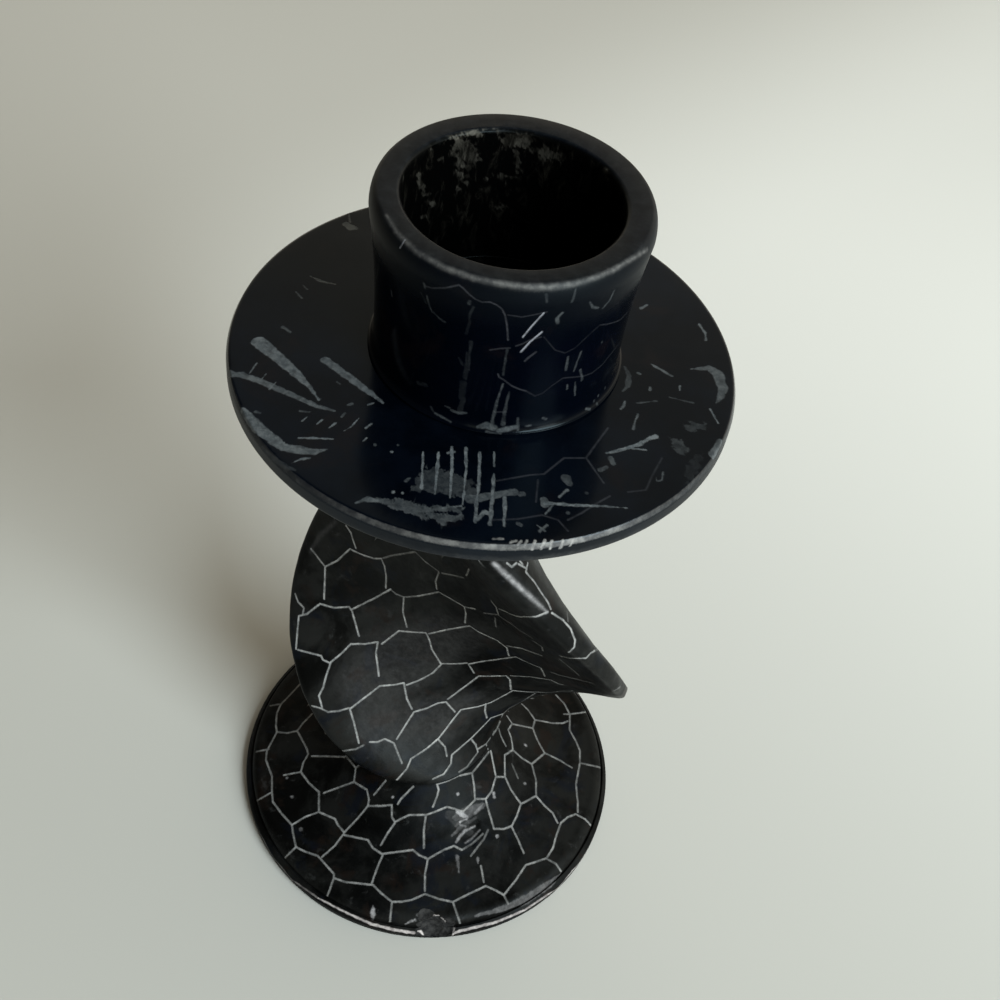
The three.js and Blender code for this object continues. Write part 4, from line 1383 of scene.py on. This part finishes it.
def make_base(material, trees, whole):
    outline = base_outline()
    place = turned_shape(outline)
    first_top = len(outline) - 2 - (SWEEP_STEPS + 1) - SHOULDER_STEPS
    last_top = len(outline) - 3
    sheet = even_grid(np.arange(len(outline)), TURNED_COLUMNS)
    top_sheet = even_grid(np.arange(first_top, last_top + 1), COARSE_COLUMNS)
    seeds = cell_seeds(top_sheet, place, BASE_CELL_SPACING, BASE_SEED)
    hidden = hidden_field(whole, place, np.arange(len(outline)))
    runs = engraved_strokes(trees, "base", BASE_LINES + NECK_LINES, BASE_LINE_WIDTH)
    scuff_and_highlight_strokes = strokes_on(trees, "base", BASE_SCUFFS_AND_SHEEN)
    worn_edges_and_highlight = strokes_on(trees, "base", BASE_WEAR)
    ridges = strokes_on(trees, "base", DENT_RIDGES)
    balls = chip_balls(trees)
    _, dent_middle = first_hit(trees, DENT_PIXEL)

    def on_top(along):
        return (along > first_top + 0.5) & (along < last_top)

    def scoop(points):
        """1 inside the dent, 0 outside it, with a soft edge between."""
        across = (points[:, 0] - dent_middle[0]) / DENT_HALF_WIDTH
        lengthwise = (points[:, 1] - dent_middle[1]) / DENT_HALF_LENGTH
        return 1 - smooth(np.hypot(across, lengthwise) + 0.1 * ripple(points, 1.6, 59), 0.5, 1.05)

    def fineness(along, turn, length):
        result = np.full(len(along), BASE_COARSE_EDGE)
        near = np.flatnonzero((along > 1.5) & (along < last_top) & (length > FINE_EDGE))
        along, turn = along[near], turn[near]
        points = place(along, turn)
        unseen = hidden(along, turn)
        normals = outward(place, along, turn)
        _, gap = engraved(points, normals, unseen, runs, seeds, BASE_LINE_WIDTH)
        gap = np.where(on_top(along), gap, FAR)
        _, scuff_and_sheen_gap = marks_field(points, scuff_and_highlight_strokes + worn_edges_and_highlight + ridges)
        wanted = edge_wanted(gap, mix(FINE_EDGE, UNSEEN_EDGE, unseen), BASE_COARSE_EDGE)
        wanted = np.minimum(wanted, edge_wanted(scuff_and_sheen_gap, BROKEN_EDGE, BASE_COARSE_EDGE))
        _, depth = chipped(points, balls)
        wanted = np.where(depth > -0.3, np.minimum(wanted, BROKEN_EDGE), wanted)
        dented = (scoop(points) > 0.02) & on_top(along)
        result[near] = np.where(dented, np.minimum(wanted, DENT_EDGE), wanted)
        return result

    def fields(along, turn, points, normals):
        unseen = hidden(along, turn)
        line, _ = engraved(points, normals, unseen, runs, seeds, BASE_LINE_WIDTH)
        hand = handwork(points, 51) * on_top(along)
        hand *= band(along, first_top, first_top + 6, last_top - 2, last_top)
        # Scuffs, with the painted sheen on the shoulder and the painted highlight in the dent
        scuff, _ = marks_field(points, scuff_and_highlight_strokes, ragged=0.06, edge=0.14, seed=55)
        wear, _ = marks_field(points, worn_edges_and_highlight, ragged=0.03, edge=0.08, seed=56)
        ridge, _ = marks_field(points, ridges, ragged=0.03, edge=0.15, seed=54)
        on_bevel = (along > 4.5) & (along < 6.5)
        ring = np.clip(0.4 + 0.25 * ripple(points, 3, 53), 0, 1) * on_bevel
        moved, depth = chipped(points, balls)
        chip = smooth(depth, -0.04, 0.08)
        unbroken = 1 - chip
        line = line * on_top(along) * unbroken
        dent = (DENT_DEPTH * scoop(points) - RIDGE_RISE * ridge) * on_top(along)
        return {
            "lift": (hand - LINE_DEPTH * line - 0.05 * scuff - np.maximum(dent, 0)) * unbroken,
            "shift": moved - points,
            "line": line * BASE_LINE_STRENGTH,
            # The dent's ridges are painted pale as well: a painted highlight along them
            "scuff": np.maximum(scuff, 0.8 * ridge) * unbroken,
            "chip": chip,
            "wear": np.maximum(wear, ring * unseen),
        }

    ends = [(0, False), (len(outline) - 1, True)]
    piece = build_piece("base_carved", sheet, place, fineness, fields, ends, material)
    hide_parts("base")


def make_pan(material, trees):
    outline = pan_outline()
    place = turned_shape(outline)
    sheet = even_grid(np.arange(len(outline)), TURNED_COLUMNS)
    scuff_and_highlight_strokes = strokes_on(trees, "pan", PAN_SCUFFS)
    haze = strokes_on(trees, "pan", PAN_HAZE)
    lines = strokes_on(trees, "pan", PAN_LINES)
    ticks = strokes_on(trees, "pan", PAN_TICKS)

    def fineness(along, turn, length):
        result = np.full(len(along), PAN_COARSEST)
        near = np.flatnonzero((along > 1) & (along < 15) & (length > 0.17))
        along, turn = along[near], turn[near]
        _, gap = marks_field(place(along, turn), scuff_and_highlight_strokes + haze + lines + ticks)
        rim = (along > 1.5) & (along < 11.5)
        wanted = edge_wanted(gap, PAN_EDGE, PAN_COARSE_EDGE)
        result[near] = np.where(rim, np.minimum(wanted, RIM_EDGE), wanted)
        return result

    def rim_band(along, points):
        """The grey of the worn bevel, and of the thin worn line along the edge below it."""
        turns = np.degrees(np.arctan2(points[:, 1] - PAN_Y, points[:, 0] - PAN_X))
        across = along + 0.07 * ripple(points, 1.5, 64) + 0.05 * ripple(points, 0.5, 65)
        bevel = band(across, 8.6, 9.3, 10.3, 10.9)
        below = 0.12 * band(across, 3.5, 5, 7.1, 7.5)
        grey = np.interp(turns, RIM_TURNS, RIM_GREYS)
        return (bevel + below) * grey * (1 + 0.12 * ripple(points, 3, 66))

    def fields(along, turn, points, normals):
        scuff, _ = marks_field(points, scuff_and_highlight_strokes, ragged=0.045, edge=0.06, seed=61)
        cloudy, _ = marks_field(points, haze, ragged=0.2, edge=0.1, seed=63)
        line, _ = marks_field(points, lines, edge=0.07)
        tick, _ = marks_field(points, ticks, ragged=0.03, edge=0.07, seed=67)
        zero = np.zeros(len(points))
        return {
            "lift": -0.02 * scuff - 0.03 * line,
            "line": line,
            "scuff": np.maximum(scuff, cloudy),
            "wear": np.clip(np.maximum(tick, rim_band(along, points)), 0, 1),
            "wax": zero,
            "bore": zero,
            "dull": band(along, 1.5, 3, 8.2, 8.8),
        }

    piece = build_piece("pan_polished", sheet, place, fineness, fields, [], material)
    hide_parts("drip_pan")


def far_scratches(place, wall_foot, wall_top):
    """Short scratches strewn over the cup's far side, as runs of (points, widths, strength)."""
    chance = np.random.default_rng(SCRATCH_SEED)
    runs = []
    for _ in range(CUP_SCRATCHES):
        middle = chance.uniform(wall_foot + 0.5, wall_top - 0.5)
        turn = math.radians(chance.uniform(15, 165))
        rise = chance.uniform(-1, 1)
        sweep = chance.uniform(-0.12, 0.12)
        steps = np.linspace(-0.5, 0.5, 4)
        along = np.clip(middle + rise * steps, wall_foot, wall_top)
        widths = np.array([0.1, 0.24, 0.2, 0.1]) * chance.uniform(0.7, 1.5)
        runs.append((place(along, turn + sweep * steps), widths, chance.uniform(0.08, 0.3)))
    return runs


def make_cup(material, trees, whole):
    outline = cup_outline()
    place = turned_shape(outline)
    sheet = even_grid(np.arange(len(outline)), TURNED_COLUMNS)
    wall_foot = 2 + FOOT_STEPS + 1
    wall_top = wall_foot + 9
    bore_start = wall_top + LIP_STEPS + 1
    lip_start = bore_start - 8
    wall = np.arange(wall_foot, wall_top + 1)
    seeds = cell_seeds(even_grid(wall, COARSE_COLUMNS // 2), place, CUP_CELL_SPACING, CUP_SEED)
    hidden = hidden_field(whole, place, wall)
    scuff_and_highlight_strokes = strokes_on(trees, "cup", CUP_SCUFFS_AND_SHEEN) + far_scratches(place, wall_foot, wall_top)
    lines = strokes_on(trees, "cup", CUP_LINES_AND_REFLECTION_EDGE)
    worn_edges_and_highlight = strokes_on(trees, "cup", CUP_WEAR_AND_HIGHLIGHT)
    waxes = strokes_on(trees, "cup", BORE_WAX)

    def far_network(along, turn, points, normals):
        """The faint network on the wall's unseen side, and how far its lines' edges are."""
        on_wall = (along > wall_foot) & (along < wall_top)
        unseen = hidden(np.clip(along, wall_foot, wall_top), turn) * on_wall
        return network(points, normals, unseen, seeds, CUP_LINE_WIDTH, 0)

    def fineness(along, turn, length):
        result = np.full(len(along), CUP_COARSE_EDGE)
        near = np.flatnonzero((along > 1.5) & (length > CUP_EDGE))
        along, turn = along[near], turn[near]
        points = place(along, turn)
        _, gap = marks_field(points, scuff_and_highlight_strokes + lines + worn_edges_and_highlight + waxes)
        wanted = edge_wanted(gap, CUP_EDGE, CUP_COARSE_EDGE)
        _, far_gap = far_network(along, turn, points, outward(place, along, turn))
        result[near] = np.minimum(wanted, edge_wanted(far_gap, CUP_FAR_EDGE, CUP_COARSE_EDGE))
        return result

    def fields(along, turn, points, normals):
        scuff, _ = marks_field(points, scuff_and_highlight_strokes, ragged=0.035, edge=0.09, seed=81)
        # The cup's lines include a painted reflection edge
        line, _ = marks_field(points, lines, edge=0.06)
        far_line, _ = far_network(along, turn, points, normals)
        line = np.maximum(line, CUP_LINE_STRENGTH * far_line)
        # The rim's worn edge, with a painted highlight along it
        wear, _ = marks_field(points, worn_edges_and_highlight, ragged=0.02, edge=0.32, seed=83)
        wax, _ = marks_field(points, waxes, ragged=0.3, edge=0.25, seed=84)
        bore = smooth(along, bore_start, bore_start + 0.5)
        lip = band(along, lip_start, lip_start + 3, bore_start, bore_start + 0.5)
        return {
            "lift": -0.015 * scuff - 0.04 * line + 0.02 * wax,
            "line": line,
            "scuff": np.maximum(scuff, lip * (0.035 + 0.01 * ripple(points, 2, 86))),
            "wear": wear,
            "wax": wax * bore,
            "bore": bore,
            "dull": band(along, lip_start - 8, lip_start - 3, bore_start, bore_start + 0.5),
        }

    ends = [(0, False), (len(outline) - 1, True)]
    piece = build_piece("cup_polished", sheet, place, fineness, fields, ends, material)
    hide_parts("candle_cup")


# Camera, floor and light

def add_camera():
    data = bpy.data.cameras.new("camera")
    data.lens = LENS_MM
    data.sensor_width = SENSOR_MM
    data.clip_start = 0.01
    camera = bpy.data.objects.new("camera", data)
    columns = (CAMERA_RIGHT, CAMERA_UP, tuple(-part for part in CAMERA_FORWARD), CAMERA_PLACE)
    rows = [[column[row] for column in columns] for row in range(3)]
    camera.matrix_world = Matrix([*rows, [0, 0, 0, 1]])
    bpy.context.scene.collection.objects.link(camera)
    bpy.context.scene.camera = camera


def add_floor():
    """A wide pale floor with painted shadow on it: darker towards the camera, and darker to the far left."""
    n = new_material("floor", 0.25)
    soft = n.blend(n.noise(6, 3, 0.5), (0.75, 0.76, 0.73), (0.79, 0.8, 0.77))
    # Painted shadow: the floor darker towards the camera
    soft = n.blend(n.ramp(n.toward(70), FLOOR_NEAR, FLOOR_FAR), (0.48, 0.485, 0.455), soft)
    # Painted shadow: the floor darker to the far left
    left = n.ramp(n.toward(140), FLOOR_LEFT, FLOOR_FAR_LEFT, 0, 0.7)
    n.link(n.blend(left, soft, (0.45, 0.44, 0.4)), n.shader.inputs["Base Color"])
    n.shader.inputs["Roughness"].default_value = 0.9
    mesh = bpy.data.meshes.new("floor")
    corners = [(FLOOR_HALF * x, FLOOR_HALF * y, 0) for x, y in ((-1, -1), (1, -1), (1, 1), (-1, 1))]
    mesh.from_pydata(corners, [], [(0, 1, 2, 3)])
    mesh.materials.append(n.material)
    floor = bpy.data.objects.new("floor", mesh)
    bpy.context.scene.collection.objects.link(floor)


def add_area(name, azimuth, rise, distance, size, radiance, colour):
    """A round lamp in that direction from the object, in degrees, that shines at it."""
    way = Vector(heading(math.radians(azimuth), math.radians(rise)))
    data = bpy.data.lights.new(name, "AREA")
    data.shape = "DISK"
    data.size = size
    data.energy = radiance * math.pi * math.pi * size ** 2 / 4
    data.color = colour
    light = bpy.data.objects.new(name, data)
    light.location = Vector(LIGHT_AIM) + way * distance
    light.rotation_euler = (-way).to_track_quat("-Z", "Y").to_euler()
    bpy.context.scene.collection.objects.link(light)


def add_room():
    """The room: dim on the left and overhead, and dimmed in front by whoever takes the picture."""
    world = bpy.data.worlds.new("room")
    bpy.context.scene.world = world
    world.use_nodes = True
    n = Nodes(world.node_tree, "Generated")
    height = n.math("ABSOLUTE", n.toward(0, 90))
    low = n.ramp(height, 0.2, 0.62, ROOM_LOW, ROOM_HIGH)
    right = n.ramp(n.toward(-14), -0.06, 0.06)
    behind = n.ramp(n.toward(72), 0.15, 0.9)
    side = n.math("MAXIMUM", right, behind)
    person = n.ramp(n.toward(-94, 48), 0.8, 0.95, 1.0, 0.25)
    level = n.math("MULTIPLY", n.ramp(side, 0, 1, ROOM_LEFT, low), person)
    back = n.tree.nodes["Background"]
    back.inputs["Color"].default_value = ROOM_COLOUR
    n.link(level, back.inputs["Strength"])


def add_light():
    add_room()
    add_area("key", *KEY_LAMP, KEY_COLOUR)
    add_area("low", *LOW_LAMP, LOW_COLOUR)
    bpy.context.scene.view_settings.view_transform = "Standard"


def main():
    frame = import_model()
    add_camera()
    stem_stone = carved_stone("stem_stone", 0.1, 0.34, 0.5, (0.0085, 0.0088, 0.0084))
    base_stone = carved_stone("base_stone", 0.07, 0.46, 0.6, (0.0066, 0.0068, 0.0064))
    pan_stone = polished_stone("pan_stone", 0.19, (0.68, 0.84, 1), (0.0012, 0.0026, 0.0056))
    cup_stone = polished_stone("cup_stone", 0.085, (0.74, 0.93, 1), (0.0006, 0.001, 0.003))
    steel = pin_steel()
    shapes = stone_shapes()
    trees = {name: coarse_tree([shape]) for name, shape in shapes.items()}
    whole = coarse_tree(shapes.values())
    make_base(base_stone, trees, whole)
    make_stem(stem_stone, trees, whole)
    make_pan(pan_stone, trees)
    make_cup(cup_stone, trees, whole)
    for name in ("lower_pin", "upper_pin"):
        pin = frame["nodes"][name]
        for slot in pin.material_slots:
            slot.material = steel
    add_floor()
    add_light()


main()
